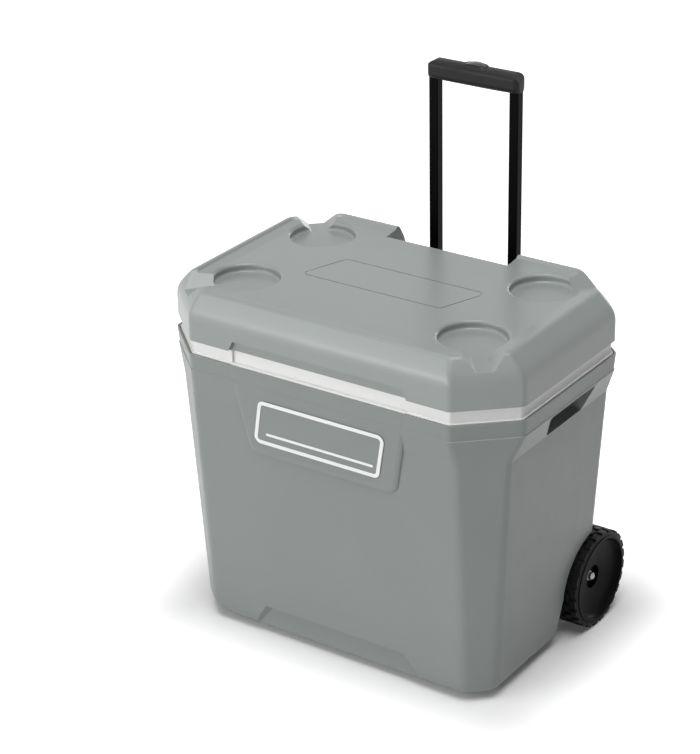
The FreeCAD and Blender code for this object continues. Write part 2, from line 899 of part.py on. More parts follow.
def lid_screw_places(x):
    face = hinge_axis_y - knuckle_radius + 0.4 + hinge_leaf
    z = rim_height + knuckle_radius + 14
    return [(x + side * hinge_width * 0.3, z, face, 12.0) for side in (-1, 1)]


def collar_screw_places():
    z = (flange_top_z + flange_bottom_z) / 2 + 1
    return [(x, z, collar_rear - collar_pocket, 26.0) for x in (-bracket_screw_x, bracket_screw_x)]


def foot_screw_places():
    z = guide_bottom + foot_height / 2 - foot_floor
    return [(x, z, collar_rear - foot_pocket, 30.0) for x in (-bracket_screw_x, bracket_screw_x)]


def screw_shanks(places, grow):
    shanks = []
    for x, z, face, long in places:
        shanks.append(cylinder_y(screw_radius + grow, face - long, face + 10 * grow, x, z))
    return Part.makeCompound(shanks)


def screws(places):
    made = []
    for x, z, face, long in places:
        head = cylinder_y(screw_head_radius, face + 0.05, face + screw_head, x, z)
        slot = box(x - 0.5, x + 0.5, face + screw_head - 1.0, face + 2 * screw_head, z - 2.6, z + 2.6)
        cross = box(x - 2.6, x + 2.6, face + screw_head - 1.0, face + 2 * screw_head, z - 0.5, z + 0.5)
        shank = cylinder_y(screw_radius, face - long + 0.5, face + 0.1, x, z)
        made.append(head.fuse(shank).cut(slot).cut(cross))
    return Part.makeCompound(made)


def all_body_screws():
    hinges = body_screw_places(-hinge_x) + body_screw_places(hinge_x)
    return hinges + collar_screw_places() + foot_screw_places()


def all_lid_screws():
    return lid_screw_places(-hinge_x) + lid_screw_places(hinge_x)


# Wheels, axle and bushes. The right side is drawn and the left mirrored.

def tread_row(x0, x1, phase):
    """One ring of tread blocks: a toothed ring as wide as its row."""
    pitch = 2 * math.pi / tread_blocks
    low = wheel_radius - tread_depth
    corners = []
    for i in range(tread_blocks):
        for share, radius in ((0.0, low), (0.08, wheel_radius), (0.66, wheel_radius), (0.74, low)):
            turn = (i + phase + share) * pitch
            corners.append(V(x0, wheel_y + radius * math.cos(turn), wheel_z + radius * math.sin(turn)))
    ring = extruded(corners, V(x1 - x0, 0, 0))
    return ring.cut(cylinder_x(wheel_radius - tyre_thick + seat_gap, x0 - 1, x1 + 1, wheel_y, wheel_z))


def tyre():
    inner_x = wheel_face_x - wheel_width + 0.5
    outer_x = wheel_face_x - 1.5
    width = (outer_x - inner_x) / tread_rows
    rows = []
    for i in range(tread_rows):
        start = inner_x + i * width
        rows.append(tread_row(start, start + width, 0.5 * (i % 2)))
    return rows[0].multiFuse(rows[1:])


def revolved_about_axle(points):
    """Turn an outline of x and radius pairs about the axle's line."""
    corners = [V(x, wheel_y, wheel_z + radius) for x, radius in points]
    face = Part.Face(Part.makePolygon(corners + corners[:1]))
    return face.revolve(V(0, wheel_y, wheel_z), V(1, 0, 0), 360)


def wheel_hub():
    """Dished wheel: rim, raised outer ring, cone-shaped dish and a sunk hub."""
    bore = axle_radius + axle_bore_clearance
    outer = wheel_radius - tyre_thick
    face = wheel_face_x
    inner = wheel_face_x - wheel_width + 0.3
    floor = wheel_face_x - hub_recess_x
    dish = wheel_face_x - dish_depth
    skin = hub_skin
    boss = hub_recess_radius + skin
    return revolved_about_axle([
        (floor, bore),
        (floor, hub_recess_radius),
        (dish, hub_recess_radius),
        (dish, boss),
        (face - dish_wall_depth, outer - rim_ring_width - dish_wall_run),
        (face - dish_wall_depth * 0.8, outer - rim_ring_width - dish_wall_run * 0.55),
        (face - dish_wall_depth * 0.4, outer - rim_ring_width - dish_wall_run * 0.15),
        (face - 0.8, outer - rim_ring_width),
        (face, outer - rim_ring_width + 0.8),
        (face, outer - 1),
        (face - 1, outer),
        (inner, outer),
        (inner, outer - skin),
        (face - dish_wall_depth - skin, outer - skin),
        (dish - skin, boss + 2),
        (dish - skin, boss + 0.5),
        (floor - skin, boss),
        (inner, boss - 4),
        (inner, bore),
    ])


def axle():
    return cylinder_x(axle_radius, -axle_end_x, axle_end_x, wheel_y, wheel_z)


def axle_cap():
    """Domed push-on cap that keeps the wheel on."""
    x0 = wheel_face_x - hub_recess_x + 0.4
    x1 = axle_end_x + 0.3
    return revolved_about_axle([
        (x0, axle_radius + 0.02),
        (x0, cap_radius + 1.6),
        (x0 + 1.2, cap_radius + 1.6),
        (x0 + 1.2, cap_radius),
        (x1 - 1.0, cap_radius),
        (x1 + 1.2, cap_radius * 0.55),
        (x1 + 1.6, 0.0),
        (x1, 0.0),
        (x1, axle_radius + 0.02),
    ])


def bush():
    """Flanged bush between the axle and its plate."""
    x0 = arch_x - axle_plate
    flange_end = wheel_face_x - wheel_width - 0.3
    bore = axle_radius + 0.02
    outer = axle_radius + bush_wall - 0.05
    return revolved_about_axle([
        (x0, bore),
        (x0, outer),
        (arch_x + seat_gap, outer),
        (arch_x + seat_gap, outer + 5),
        (flange_end, outer + 5),
        (flange_end, bore),
    ])


# Tow handle.

def tube_block(x, half_x, half_y, z0, z1, radius):
    return rounded_box(x - half_x, x + half_x, tube_y - half_y, tube_y + half_y, z0, z1, radius)


def inner_tube(x):
    half_x = tube_width / 2
    half_y = tube_depth / 2
    outer = tube_block(x, half_x, half_y, tube_bottom_z, tube_top_z, tube_round)
    bore = tube_block(x, half_x - tube_wall, half_y - tube_wall, tube_bottom_z - 1, tube_top_z + 1, 0.6)
    hole = cylinder_y(pin_radius + 0.1, tube_y - 20, tube_y, x, pin_z())
    return outer.cut(bore).cut(hole)


def pin_z():
    return tube_bottom_z + 12.0


def guide_half(grow):
    return tube_width / 2 + guide_gap + grow, tube_depth / 2 + guide_gap + grow


def guide_tube(x):
    """Fixed outer tube with a keyway in its front wall for the lock pin."""
    outer = tube_block(x, *guide_half(guide_wall), guide_bottom, guide_top_z, tube_round + 1)
    bore = tube_block(x, *guide_half(0.0), guide_bottom - 1, guide_top_z + 1, tube_round)
    front = tube_y - tube_depth / 2 - guide_gap
    half = keyway_width / 2
    keyway = box(x - half, x + half, front - keyway_depth, front + 1, guide_bottom - 1, guide_top_z + 1)
    return outer.cut(bore).cut(keyway)


def tube_sides():
    return (-tube_x, tube_x)


def guide_clearance(z0, z1):
    holes = [tube_block(x, *guide_half(guide_wall + 0.1), z0, z1, tube_round + 1) for x in tube_sides()]
    return Part.makeCompound(holes)


def bracket_web():
    """Half width of a bracket's thin web between its sleeves."""
    return tube_x - tube_width / 2 - guide_wall - sleeve_wall


def handle_collar():
    """Upper bracket: a sleeve round each guide tube, joined by a thin web seated on the flange."""
    low = collar_bottom_z
    high = collar_top_z
    block = rounded_box(-collar_half, collar_half, lid_half_depth - 6, collar_rear, low, high, bracket_round)
    above_y = lid_half_depth + flange_proud + seat_gap
    above = box(-lid_half_width, lid_half_width, 0, above_y, flange_top_z - 0.5, high + 1)
    block = block.cut(body_form(seat_gap)).cut(above)
    web = bracket_web()
    rear_pocket = box(-web, web, collar_rear - collar_pocket, collar_rear + 1, low - 1, high + 1)
    passes = []
    for x in tube_sides():
        passes.append(tube_block(x, *guide_half(0.1), guide_top_z - 1, high + 1, tube_round))
    block = block.cut(rear_pocket).cut(guide_clearance(low - 1, guide_top_z + 0.1))
    return block.cut(Part.makeCompound(passes)).cut(screw_shanks(collar_screw_places(), 0.05))


def handle_foot():
    """Lower bracket: stands off the drafted rear wall and closes the guide tubes' feet."""
    low = guide_bottom - foot_floor
    high = low + foot_height
    block = rounded_box(-foot_half, foot_half, lid_half_depth - 40, collar_rear, low, high, bracket_round)
    block = block.cut(body_form(seat_gap))
    web = bracket_web()
    pocket = box(-web, web, collar_rear - foot_pocket, collar_rear + 1, low - 1, high + 1)
    block = block.cut(pocket).cut(guide_clearance(guide_bottom - 0.1, high + 1))
    return block.cut(screw_shanks(foot_screw_places(), 0.05))


def grip_form(grow):
    """Grip: a rounded end profile crossed with a front profile that has round shoulders and a low belly."""
    half = grip_length / 2 + grow
    low = grip_z - grow
    high = grip_top_z + grow
    deep = grip_depth / 2 + grow
    round_x = half - grip_end_round - grow
    round_z = high - grip_end_round - grow
    lean = math.sqrt(0.5) * (grip_end_round + grow)
    leg = tube_x - tube_width / 2 - grip_wall
    low_y = tube_y - deep - 1
    ends = rounded_box(low - grip_belly, high, tube_y - deep, tube_y + deep, -half, half, grip_round + grow)
    ends.rotate(V(0, 0, 0), V(0, 1, 0), -90)
    right_mid = V(round_x + lean, low_y, round_z + lean)
    left_mid = V(-round_x - lean, low_y, round_z + lean)
    right_arc = Part.Arc(V(half, low_y, round_z), right_mid, V(round_x, low_y, high))
    left_arc = Part.Arc(V(-round_x, low_y, high), left_mid, V(-half, low_y, round_z))
    belly = Part.Arc(V(-leg, low_y, low), V(0, low_y, low - grip_belly), V(leg, low_y, low))
    path = [
        belly.toShape(),
        Part.makeLine(V(leg, low_y, low), V(half, low_y, low)),
        Part.makeLine(V(half, low_y, low), V(half, low_y, round_z)),
        right_arc.toShape(),
        Part.makeLine(V(round_x, low_y, high), V(-round_x, low_y, high)),
        left_arc.toShape(),
        Part.makeLine(V(-half, low_y, round_z), V(-half, low_y, low)),
        Part.makeLine(V(-half, low_y, low), V(-leg, low_y, low)),
    ]
    front = Part.Face(Part.Wire(path)).extrude(V(0, 2 * deep + 2, 0))
    return ends.common(front)


def grip_mound():
    """Low oval mound on top of the grip around the button."""
    base = oval(button_half_x + mound_foot_x, button_half_y + mound_foot_y, grip_top_z - mound_drop)
    top = oval(button_half_x + mound_top_x, button_half_y + mound_top_y, grip_top_z + mound_rise)
    return loft([base, top])


def oval(half_x, half_y, z):
    front = tube_y - half_y
    rear = tube_y + half_y
    corners = [V(-half_x, front, z), V(half_x, front, z), V(half_x, rear, z), V(-half_x, rear, z)]
    return rounded_wire(corners, half_y - 0.1)


def grip_screw_places():
    return [(x, tube_y + side * grip_screw_y) for x in (-grip_screw_x, grip_screw_x) for side in (-1, 1)]


def grip_rods(radius, z0, z1):
    """Upright rods at the grip's screws: their posts, holes or shanks."""
    return [cylinder_z(radius, z0, z1, x, y) for x, y in grip_screw_places()]


def grip_lower():
    below = box(-lid_half_width, lid_half_width, 0, collar_rear + 100, grip_z - 10, split_z)
    form = grip_form(0.0).common(below)
    shell = form.cut(grip_form(-grip_wall))
    inner = []
    holes = []
    for x in tube_sides():
        wide = tube_width / 2
        deep = grip_depth / 2 - 1
        inner.append(tube_block(x, wide + grip_wall, deep, grip_z + 1, tube_top_z - 1, tube_round))
        holes.append(tube_block(x, wide + 0.1, tube_depth / 2 + 0.1, grip_z - 1, tube_top_z + 1, tube_round))
    inner += grip_rods(grip_post_radius, grip_z - 1, split_z)
    inside = shell.multiFuse([piece.common(form) for piece in inner])
    holes += grip_rods(grip_screw_radius + 0.05, grip_z - 10, split_z + 1)
    holes += grip_rods(grip_screw_head + 0.3, grip_z - 10, grip_z + 1.0)
    return inside.cut(Part.makeCompound(holes))


def button_shape(grow, z0, z1):
    return Part.Face(oval(button_half_x + grow, button_half_y + grow, z0)).extrude(V(0, 0, z1 - z0))


def grip_upper():
    above = box(-lid_half_width, lid_half_width, 0, collar_rear + 100, split_z, grip_top_z + 20)
    shell = grip_form(0.0).common(above).fuse(grip_mound()).cut(grip_form(-grip_wall))
    posts = [post.common(grip_form(0.0)) for post in grip_rods(grip_post_radius, split_z, grip_top_z)]
    shell = shell.multiFuse(posts)
    shell = shell.cut(button_shape(button_clearance, split_z, grip_top_z + 20))
    return shell.cut(Part.makeCompound(grip_rods(grip_screw_radius + 0.05, split_z - 1, split_z + 8)))


def grip_screws():
    heads = grip_rods(grip_screw_head, grip_z - 0.1, grip_z + 0.9)
    shanks = grip_rods(grip_screw_radius, grip_z + 0.8, split_z + 7)
    return Part.makeCompound([head.fuse(shank) for head, shank in zip(heads, shanks)])


def push_button():
    """Oval button with a domed top, on a cross bar that reaches both rods."""
    button = button_shape(0.0, yoke_z, button_top_z)
    button = button.common(Part.makeSphere(button_crown, V(0, tube_y, button_top_z - button_crown)))
    reach = tube_x + rod_radius + 1
    half = yoke_width / 2
    bar = box(-reach, reach, tube_y - half, tube_y + half, yoke_z, yoke_z + yoke_height)
    seat = cylinder_z(button_spring_radius + spring_wire + 0.3, yoke_z - 1, yoke_z + 1.5, 0, tube_y)
    return button.fuse(bar).cut(seat)


def push_rod(x):
    """Rod down the inner tube, ending in a wedge that draws the lock pin back."""
    top = pin_z() + pin_radius
    rod = cylinder_z(rod_radius, top + 10, yoke_z - 0.1, x, tube_y)
    front = tube_y - 3.1
    tip = top - 1.4
    slope = pin_travel / button_travel
    rear = front + 0.5
    high = tip + 2 * button_travel
    corners = [
        V(x - 1.1, front, tip),
        V(x - 1.1, rear, tip),
        V(x - 1.1, rear + slope * (high - tip), high),
        V(x - 1.1, rear + slope * (high - tip), top + 14),
        V(x - 1.1, front, top + 14),
    ]
    return rod.fuse(extruded(corners, V(2.2, 0, 0)))


def pin_tip_y():
    return tube_y - tube_depth / 2 - pin_reach


def lock_pin(x):
    """Pin with a window that the rod's wedge enters."""
    y = pin_tip_y()
    pin = cylinder_y(pin_radius, y, y + pin_length, x, pin_z())
    pin = pin.makeChamfer(0.6, [e for e in pin.Edges if e.BoundBox.YMax < y + 0.01])
    rear = tube_y - 3.1 + 0.5 + 0.7 + 0.15
    window = box(x - 1.4, x + 1.4, tube_y - 3.1 - pin_travel - 0.3, rear, pin_z() - 5, pin_z() + 5)
    return pin.cut(window)


def lock_block(x):
    """Plug in the foot of the inner tube that carries the lock pin and its spring."""
    half_x = tube_width / 2 - tube_wall - 0.1
    half_y = tube_depth / 2 - tube_wall - 0.1
    block = tube_block(x, half_x, half_y, tube_bottom_z, tube_bottom_z + 30, 0.6)
    bore = cylinder_y(pin_radius + 0.05, tube_y - 20, tube_y + half_y - 1.0, x, pin_z())
    channel = box(x - 2.1, x + 2.1, tube_y - 3.5, tube_y + 4.6, pin_z() + 1, tube_bottom_z + 31)
    relief = box(x - 1.5, x + 1.5, tube_y - 3.5, tube_y + 2.0, pin_z() - pin_radius - 4.5, pin_z())
    return block.cut(bore).cut(channel).cut(relief)


def coil(radius, wire, height, turns):
    """Helical spring standing on the origin along Z."""
    pitch = (height - 2 * wire) / turns
    helix = Part.makeHelix(pitch, pitch * turns, radius)
    helix.translate(V(0, 0, wire))
    start = V(radius, 0, wire)
    ring = Part.Wire([Part.makeCircle(wire, start, V(0, radius, pitch / (2 * math.pi)))])
    return Part.Wire(helix.Edges).makePipeShell([ring], True, True)


def button_spring():
    low = grip_z + grip_wall + 0.1
    spring = coil(button_spring_radius, spring_wire, yoke_z + 0.9 - low, spring_coils)
    spring.translate(V(0, tube_y, low))
    return spring


def lock_spring(x):
    y0 = pin_tip_y() + pin_length + 0.1
    y1 = tube_y + tube_depth / 2 - tube_wall - 1.2
    spring = coil(lock_spring_radius, lock_spring_wire, y1 - y0, lock_spring_coils)
    spring.rotate(V(0, 0, 0), V(1, 0, 0), -90)
    spring.translate(V(x, y0, pin_z()))
    return spring


# Drain.

def drain_fitting():
    """Threaded spout with a flange seated on the end wall."""
    outside = -lid_half_width + 22
    flange = cylinder_x(drain_flange, outside, -lid_half_width + 46, drain_y, drain_z).cut(body_form(1.6))
    spout = cylinder_x(drain_tube, outside - 10, -lid_half_width + 64, drain_y, drain_z)
    return flange.fuse(spout).cut(cylinder_x(drain_bore, -2 * lid_half_width, 0, drain_y, drain_z))


def drain_gasket():
    disc = cylinder_x(drain_flange - 1, -lid_half_width + 22, -lid_half_width + 46, drain_y, drain_z)
    ring = disc.common(body_form(1.5)).cut(body_form(0.1))
    return ring.cut(cylinder_x(drain_tube + 0.1, -2 * lid_half_width, 0, drain_y, drain_z))


def drain_nut():
    """Hexagonal nut on the spout inside the tub."""
    x0 = -lid_half_width + 50
    corners = []
    for i in range(6):
        turn = math.radians(60 * i)
        y = drain_y + drain_nut_radius * math.cos(turn)
        corners.append(V(x0, y, drain_z + drain_nut_radius * math.sin(turn)))
    nut = extruded(corners, V(12, 0, 0)).common(tub_form(-0.1, rim_height))
    return nut.cut(cylinder_x(drain_tube + 0.1, -2 * lid_half_width, 0, drain_y, drain_z))


def drain_cap():
    """Ribbed screw cap over the spout."""
    mouth = -lid_half_width + 21.6
    outer = []
    for i in range(drain_cap_ribs):
        for share, radius in ((0.0, drain_cap_radius - drain_cap_groove), (0.5, drain_cap_radius)):
            turn = (i + share) * 2 * math.pi / drain_cap_ribs
            outer.append(V(mouth, drain_y + radius * math.cos(turn), drain_z + radius * math.sin(turn)))
    cap = extruded(outer, V(-13, 0, 0))
    return cap.cut(cylinder_x(drain_tube + 0.15, mouth - 10.6, mouth + 1, drain_y, drain_z))


def export(name, shape):
    shape = shape.copy()
    shape.translate(V(0, shift_y, 0))
    shape.exportStep("parts/" + name + ".step")


def build():
    shanks = screw_shanks(all_body_screws(), 0.05)
    lid_shanks = screw_shanks(all_lid_screws(), 0.05)
    parts = {
        "body_shell": body_shell().cut(shanks),
        "inner_liner": inner_liner(),
        "rim_collar": rim_collar(),
        "foam_core": foam_core().cut(shanks),
        "front_feet": feet(),
        "badge_plate": badge_plate_panel(),
        "badge_frame": badge_frame(),
        "lid_shell": lid_shell().cut(lid_shanks),
        "lid_liner": lid_liner(),
        "lid_foam": lid_foam().cut(lid_shanks),
        "body_screws": screws(all_body_screws()),
        "lid_hinge_screws": screws(all_lid_screws()),
        "axle": axle(),
        "handle_collar": handle_collar(),
        "handle_foot": handle_foot(),
        "grip_lower": grip_lower(),
        "grip_upper": grip_upper(),
        "grip_screws": grip_screws(),
        "push_button": push_button(),
        "button_spring": button_spring(),
        "drain_fitting": drain_fitting(),
        "drain_gasket": drain_gasket(),
        "drain_nut": drain_nut(),
        "drain_cap": drain_cap(),
    }
    for side, sign in (("left", -1), ("right", 1)):
        turn = mirror_x if sign < 0 else lambda shape: shape
        parts["hinge_body_leaf_" + side] = body_leaf(sign * hinge_x)
        parts["hinge_lid_leaf_" + side] = lid_leaf(sign * hinge_x)
        parts["hinge_pin_" + side] = hinge_pin(sign * hinge_x)
        parts["wheel_" + side] = turn(wheel_hub())
        parts["tyre_" + side] = turn(tyre())
        parts["axle_cap_" + side] = turn(axle_cap())
        parts["axle_bush_" + side] = turn(bush())
        parts["guide_tube_" + side] = guide_tube(sign * tube_x)
        parts["inner_tube_" + side] = inner_tube(sign * tube_x)
        parts["lock_block_" + side] = lock_block(sign * tube_x)
        parts["lock_pin_" + side] = lock_pin(sign * tube_x)
        parts["lock_spring_" + side] = lock_spring(sign * tube_x)
        parts["push_rod_" + side] = push_rod(sign * tube_x)
    return parts


os.makedirs("parts", exist_ok=True)
for node, shape in build().items():
    print(node, shape.isValid(), len(shape.Solids), round(shape.Volume / 1000, 2))
    export(node, shape)
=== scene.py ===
import math
import bmesh
import bpy
from mathutils import Matrix, Vector


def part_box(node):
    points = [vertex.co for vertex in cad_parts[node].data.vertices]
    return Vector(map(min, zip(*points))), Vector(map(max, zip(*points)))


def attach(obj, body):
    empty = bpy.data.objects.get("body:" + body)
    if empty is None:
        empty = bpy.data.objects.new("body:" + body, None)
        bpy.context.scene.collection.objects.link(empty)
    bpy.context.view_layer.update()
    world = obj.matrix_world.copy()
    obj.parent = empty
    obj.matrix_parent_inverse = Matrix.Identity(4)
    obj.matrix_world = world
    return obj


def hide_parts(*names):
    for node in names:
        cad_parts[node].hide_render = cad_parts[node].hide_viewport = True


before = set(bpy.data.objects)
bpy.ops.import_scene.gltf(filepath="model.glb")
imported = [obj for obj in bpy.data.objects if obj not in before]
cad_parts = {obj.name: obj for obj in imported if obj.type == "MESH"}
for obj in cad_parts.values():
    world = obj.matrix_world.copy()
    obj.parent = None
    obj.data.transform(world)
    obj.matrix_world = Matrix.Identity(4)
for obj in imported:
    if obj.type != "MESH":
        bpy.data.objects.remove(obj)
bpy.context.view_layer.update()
mm = 0.001


# Small tools shared by the pieces

toolSettings = {"weld": 0.004 * mm, "nearly": 0.001 * mm,  # points this close are one
                "flat": 0.4, "staysSharp": 38, "leastTurn": 24,  # turns between faces, in degrees
                "evenWeight": 80}


def middleOf(node):
    low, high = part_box(node)
    return (Vector(low) + Vector(high)) / 2


def newObject(name, mesh, material=None):
    piece = bpy.data.objects.new(name, mesh)
    bpy.context.scene.collection.objects.link(piece)
    if material:
        mesh.materials.clear()
        mesh.materials.append(material)
    return piece


def fromSkin(skin, name, material=None):
    # a finished bmesh as an object of its own
    mesh = bpy.data.meshes.new(name)
    skin.to_mesh(mesh)
    skin.free()
    return newObject(name, mesh, material)


def blockSkin(size):
    # a plain block round the origin, to be cut with or rolled over
    skin = bmesh.new()
    bmesh.ops.create_cube(skin, size=1.0)
    bmesh.ops.scale(skin, vec=size, verts=skin.verts)
    return skin


def baked(piece):
    # the piece with its modifiers worked into a plain mesh
    bpy.context.view_layer.update()
    seen = piece.evaluated_get(bpy.context.evaluated_depsgraph_get())
    mesh = bpy.data.meshes.new_from_object(seen)
    mesh.name = piece.name
    piece.modifiers.clear()
    piece.data = mesh
    return piece


def weldedSkin(node):
    # a CAD node's loose triangles joined into one skin
    skin = bmesh.new()
    skin.from_mesh(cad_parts[node].data)
    bmesh.ops.remove_doubles(skin, verts=skin.verts, dist=toolSettings["weld"])
    return skin


def mergedCopy(node, name, material):
    # the node's welded skin, its flat areas made whole faces again
    skin = weldedSkin(node)
    flat = math.radians(toolSettings["flat"])
    bmesh.ops.dissolve_limit(skin, angle_limit=flat, verts=skin.verts, edges=skin.edges)
    return fromSkin(skin, name, material)


def smoothed(piece):
    piece.data.shade_smooth()
    piece.data.set_sharp_from_angle(angle=math.radians(toolSettings["staysSharp"]))


def roundEdges(piece, width, steps=2, leastTurn=toolSettings["leastTurn"], byWeight=False):
    # rolls the sharp edges over, then lets the light run smoothly round them
    bevel = piece.modifiers.new("roll", "BEVEL")
    bevel.width = width
    bevel.segments = steps
    bevel.limit_method = "WEIGHT" if byWeight else "ANGLE"
    bevel.angle_limit = math.radians(leastTurn)
    bevel.miter_outer = "MITER_ARC"
    bevel.use_clamp_overlap = True
    bevel.harden_normals = False
    baked(piece)
    smoothed(piece)
    even = piece.modifiers.new("even", "WEIGHTED_NORMAL")
    even.keep_sharp = True
    even.weight = toolSettings["evenWeight"]
    return baked(piece)


def weightEdges(piece, rule):
    # rule says how much of the bevel's width an edge gets, from its middle and its turn in degrees
    skin = bmesh.new()
    skin.from_mesh(piece.data)
    layer = skin.edges.layers.float.new("bevel_weight_edge")
    for edge in skin.edges:
        turn = math.degrees(edge.calc_face_angle(0.0)) if len(edge.link_faces) == 2 else 0.0
        edge[layer] = rule((edge.verts[0].co + edge.verts[1].co) / 2, turn)
    skin.to_mesh(piece.data)
    skin.free()


def seated(piece, body, node):
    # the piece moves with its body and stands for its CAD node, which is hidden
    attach(piece, body)
    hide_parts(node)


def dressed(node, name, body, look, roll):
    # a CAD node's own shape with rolled edges, shown in its place
    seated(roundEdges(mergedCopy(node, name, finishes[look]), **roll), body, node)


def shade(red, green, blue):
    # a colour as it looks on a screen, turned into light by the usual screen curve
    def light(c):
        return ((c / 255 + 0.055) / 1.055) ** 2.4 if c > 10 else c / 255 / 12.92

    return (light(red), light(green), light(blue), 1.0)


# Finishes

plainLook = {
    "metal": 0.0, "ior": 1.46, "sheen": 0.5, "coat": 0.0, "coatRough": 0.2,
    "drift": 0.03, "driftScale": 9.0, "driftDetail": 3.0,  # how far the colour strays, and over what size
    "rubScale": 30.0, "rubDetail": 4.0,  # patches of more and less gloss
    "grainHeight": 0.05, "grainScale": 1600.0,  # the height is in millimetres
    "grainDetail": 2.0, "grainStrength": 0.3,
    "stretch": (1.0, 1.0, 1.0),  # draws the gloss and the grain out along an axis
    "noiseFrom": 0.3, "noiseTo": 0.7,  # the part of the noise that is used
}

looks = {  # what differs from the plain look, finish by finish
    "lidGrey": {"name": "lid_grey_satin", "colour": shade(143, 148, 146), "rough": (0.28, 0.31),
                "grainHeight": 0.012, "grainScale": 900.0, "drift": 0.015},
    # painted shade: the body's grey is set darker than the lid's, though both are one plastic, for the
    # lesser light on the body's walls
    "bodyGreyPaintedShade": {"name": "body_grey_satin", "colour": shade(131, 136, 134), "rough": (0.36, 0.44),
                 "sheen": 0.4, "grainHeight": 0.02, "grainScale": 900.0, "drift": 0.02},
    "white": {"name": "rim_white_satin", "colour": shade(233, 233, 232), "rough": (0.40, 0.44),
              "grainHeight": 0.01, "grainScale": 900.0, "drift": 0.01},
    "badgeWhite": {"name": "badge_white_satin", "colour": shade(236, 236, 236), "rough": (0.3, 0.4),
                   "grainHeight": 0.02, "drift": 0.01},
    "buttonBlack": {"name": "button_gloss_black", "colour": shade(24, 24, 25), "rough": (0.2, 0.28),
                    "sheen": 0.35, "grainHeight": 0.01, "coat": 0.2},
    "tub": {"name": "tub_white_gloss", "colour": shade(236, 236, 233), "rough": (0.28, 0.31),
            "grainHeight": 0.006, "grainScale": 900.0, "drift": 0.008},
    "foam": {"name": "foam_cream", "colour": shade(224, 219, 202), "rough": (0.8, 0.95),
             "grainHeight": 0.4, "grainScale": 700.0},
    "gripBlack": {"name": "grip_soft_black", "colour": shade(22, 22, 23), "rough": (0.42, 0.55),
                  "sheen": 0.24, "grainHeight": 0.06, "grainScale": 1900.0},
    "mouldBlack": {"name": "moulded_black", "colour": shade(20, 20, 21), "rough": (0.38, 0.5), "sheen": 0.2},
    "tyreBlack": {"name": "tyre_black", "colour": shade(12, 12, 13), "rough": (0.5, 0.66),
                  "sheen": 0.18, "grainHeight": 0.12, "grainScale": 900.0},
    "hubBlack": {"name": "hub_black", "colour": shade(7, 7, 8), "rough": (0.34, 0.42),
                 "sheen": 0.04, "grainHeight": 0.03},
    "tubeBlack": {"name": "tube_black_anodised", "colour": shade(5, 5, 6), "rough": (0.3, 0.42),
                  "sheen": 0.04, "stretch": (1.0, 1.0, 0.02), "grainHeight": 0.02, "grainScale": 2600.0},
    "steel": {"name": "zinc_steel", "colour": shade(196, 197, 199), "rough": (0.22, 0.36),
              "metal": 1.0, "grainHeight": 0.02},
    "capSteel": {"name": "cap_steel", "colour": shade(150, 151, 153), "rough": (0.36, 0.5),
                 "metal": 1.0, "grainHeight": 0.02},
    "rubber": {"name": "foot_rubber", "colour": shade(38, 38, 38), "rough": (0.6, 0.8),
               "grainHeight": 0.1, "grainScale": 900.0},
}


def finish(look):
    # one recipe for every finish: drifting colour, rubbed gloss and a fine moulded or drawn grain
    look = {**plainLook, **look}
    material = bpy.data.materials.new(look["name"])
    material.use_nodes = True
    nodes = material.node_tree.nodes
    links = material.node_tree.links
    shader = nodes["Principled BSDF"]
    shader.inputs["Metallic"].default_value = look["metal"]
    shader.inputs["IOR"].default_value = look["ior"]
    shader.inputs["Specular IOR Level"].default_value = look["sheen"]
    shader.inputs["Coat Weight"].default_value = look["coat"]
    shader.inputs["Coat Roughness"].default_value = look["coatRough"]
    place = nodes.new("ShaderNodeTexCoord").outputs["Object"]
    stretch = nodes.new("ShaderNodeMapping")
    stretch.inputs["Scale"].default_value = look["stretch"]
    links.new(place, stretch.inputs["Vector"])
    drawn = stretch.outputs["Vector"]

    def noise(kind, along):
        texture = nodes.new("ShaderNodeTexNoise")
        texture.inputs["Scale"].default_value = look[kind + "Scale"]
        texture.inputs["Detail"].default_value = look[kind + "Detail"]
        links.new(along, texture.inputs["Vector"])
        return texture.outputs["Fac"]

    def between(value, low, high):
        spread = nodes.new("ShaderNodeMapRange")
        spread.inputs["From Min"].default_value = look["noiseFrom"]
        spread.inputs["From Max"].default_value = look["noiseTo"]
        spread.inputs["To Min"].default_value = low
        spread.inputs["To Max"].default_value = high
        links.new(value, spread.inputs["Value"])
        return spread.outputs["Result"]

    tint = nodes.new("ShaderNodeMix")
    tint.data_type = "RGBA"
    base = look["colour"][:3]
    tint.inputs["A"].default_value = tuple(c * (1 - look["drift"]) for c in base) + (1.0,)
    tint.inputs["B"].default_value = tuple(min(1.0, c * (1 + look["drift"])) for c in base) + (1.0,)
    links.new(between(noise("drift", place), 0.0, 1.0), tint.inputs["Factor"])
    links.new(tint.outputs["Result"], shader.inputs["Base Color"])
    links.new(between(noise("rub", drawn), *look["rough"]), shader.inputs["Roughness"])
    bump = nodes.new("ShaderNodeBump")
    bump.inputs["Strength"].default_value = look["grainStrength"]
    bump.inputs["Distance"].default_value = look["grainHeight"] * mm
    links.new(noise("grain", drawn), bump.inputs["Height"])
    links.new(bump.outputs["Normal"], shader.inputs["Normal"])
    return material


finishes = {key: finish(look) for key, look in looks.items()}
print("finishes ready")


# Camera, floor and light

cameraSettings = {"turn": 34.853, "rise": 25.496, "roll": -1.1463,  # degrees
                  "distance": 2.76054, "target": (0.208468, -0.424971, 0.592905),
                  "lens": 112.568, "reach": 60}


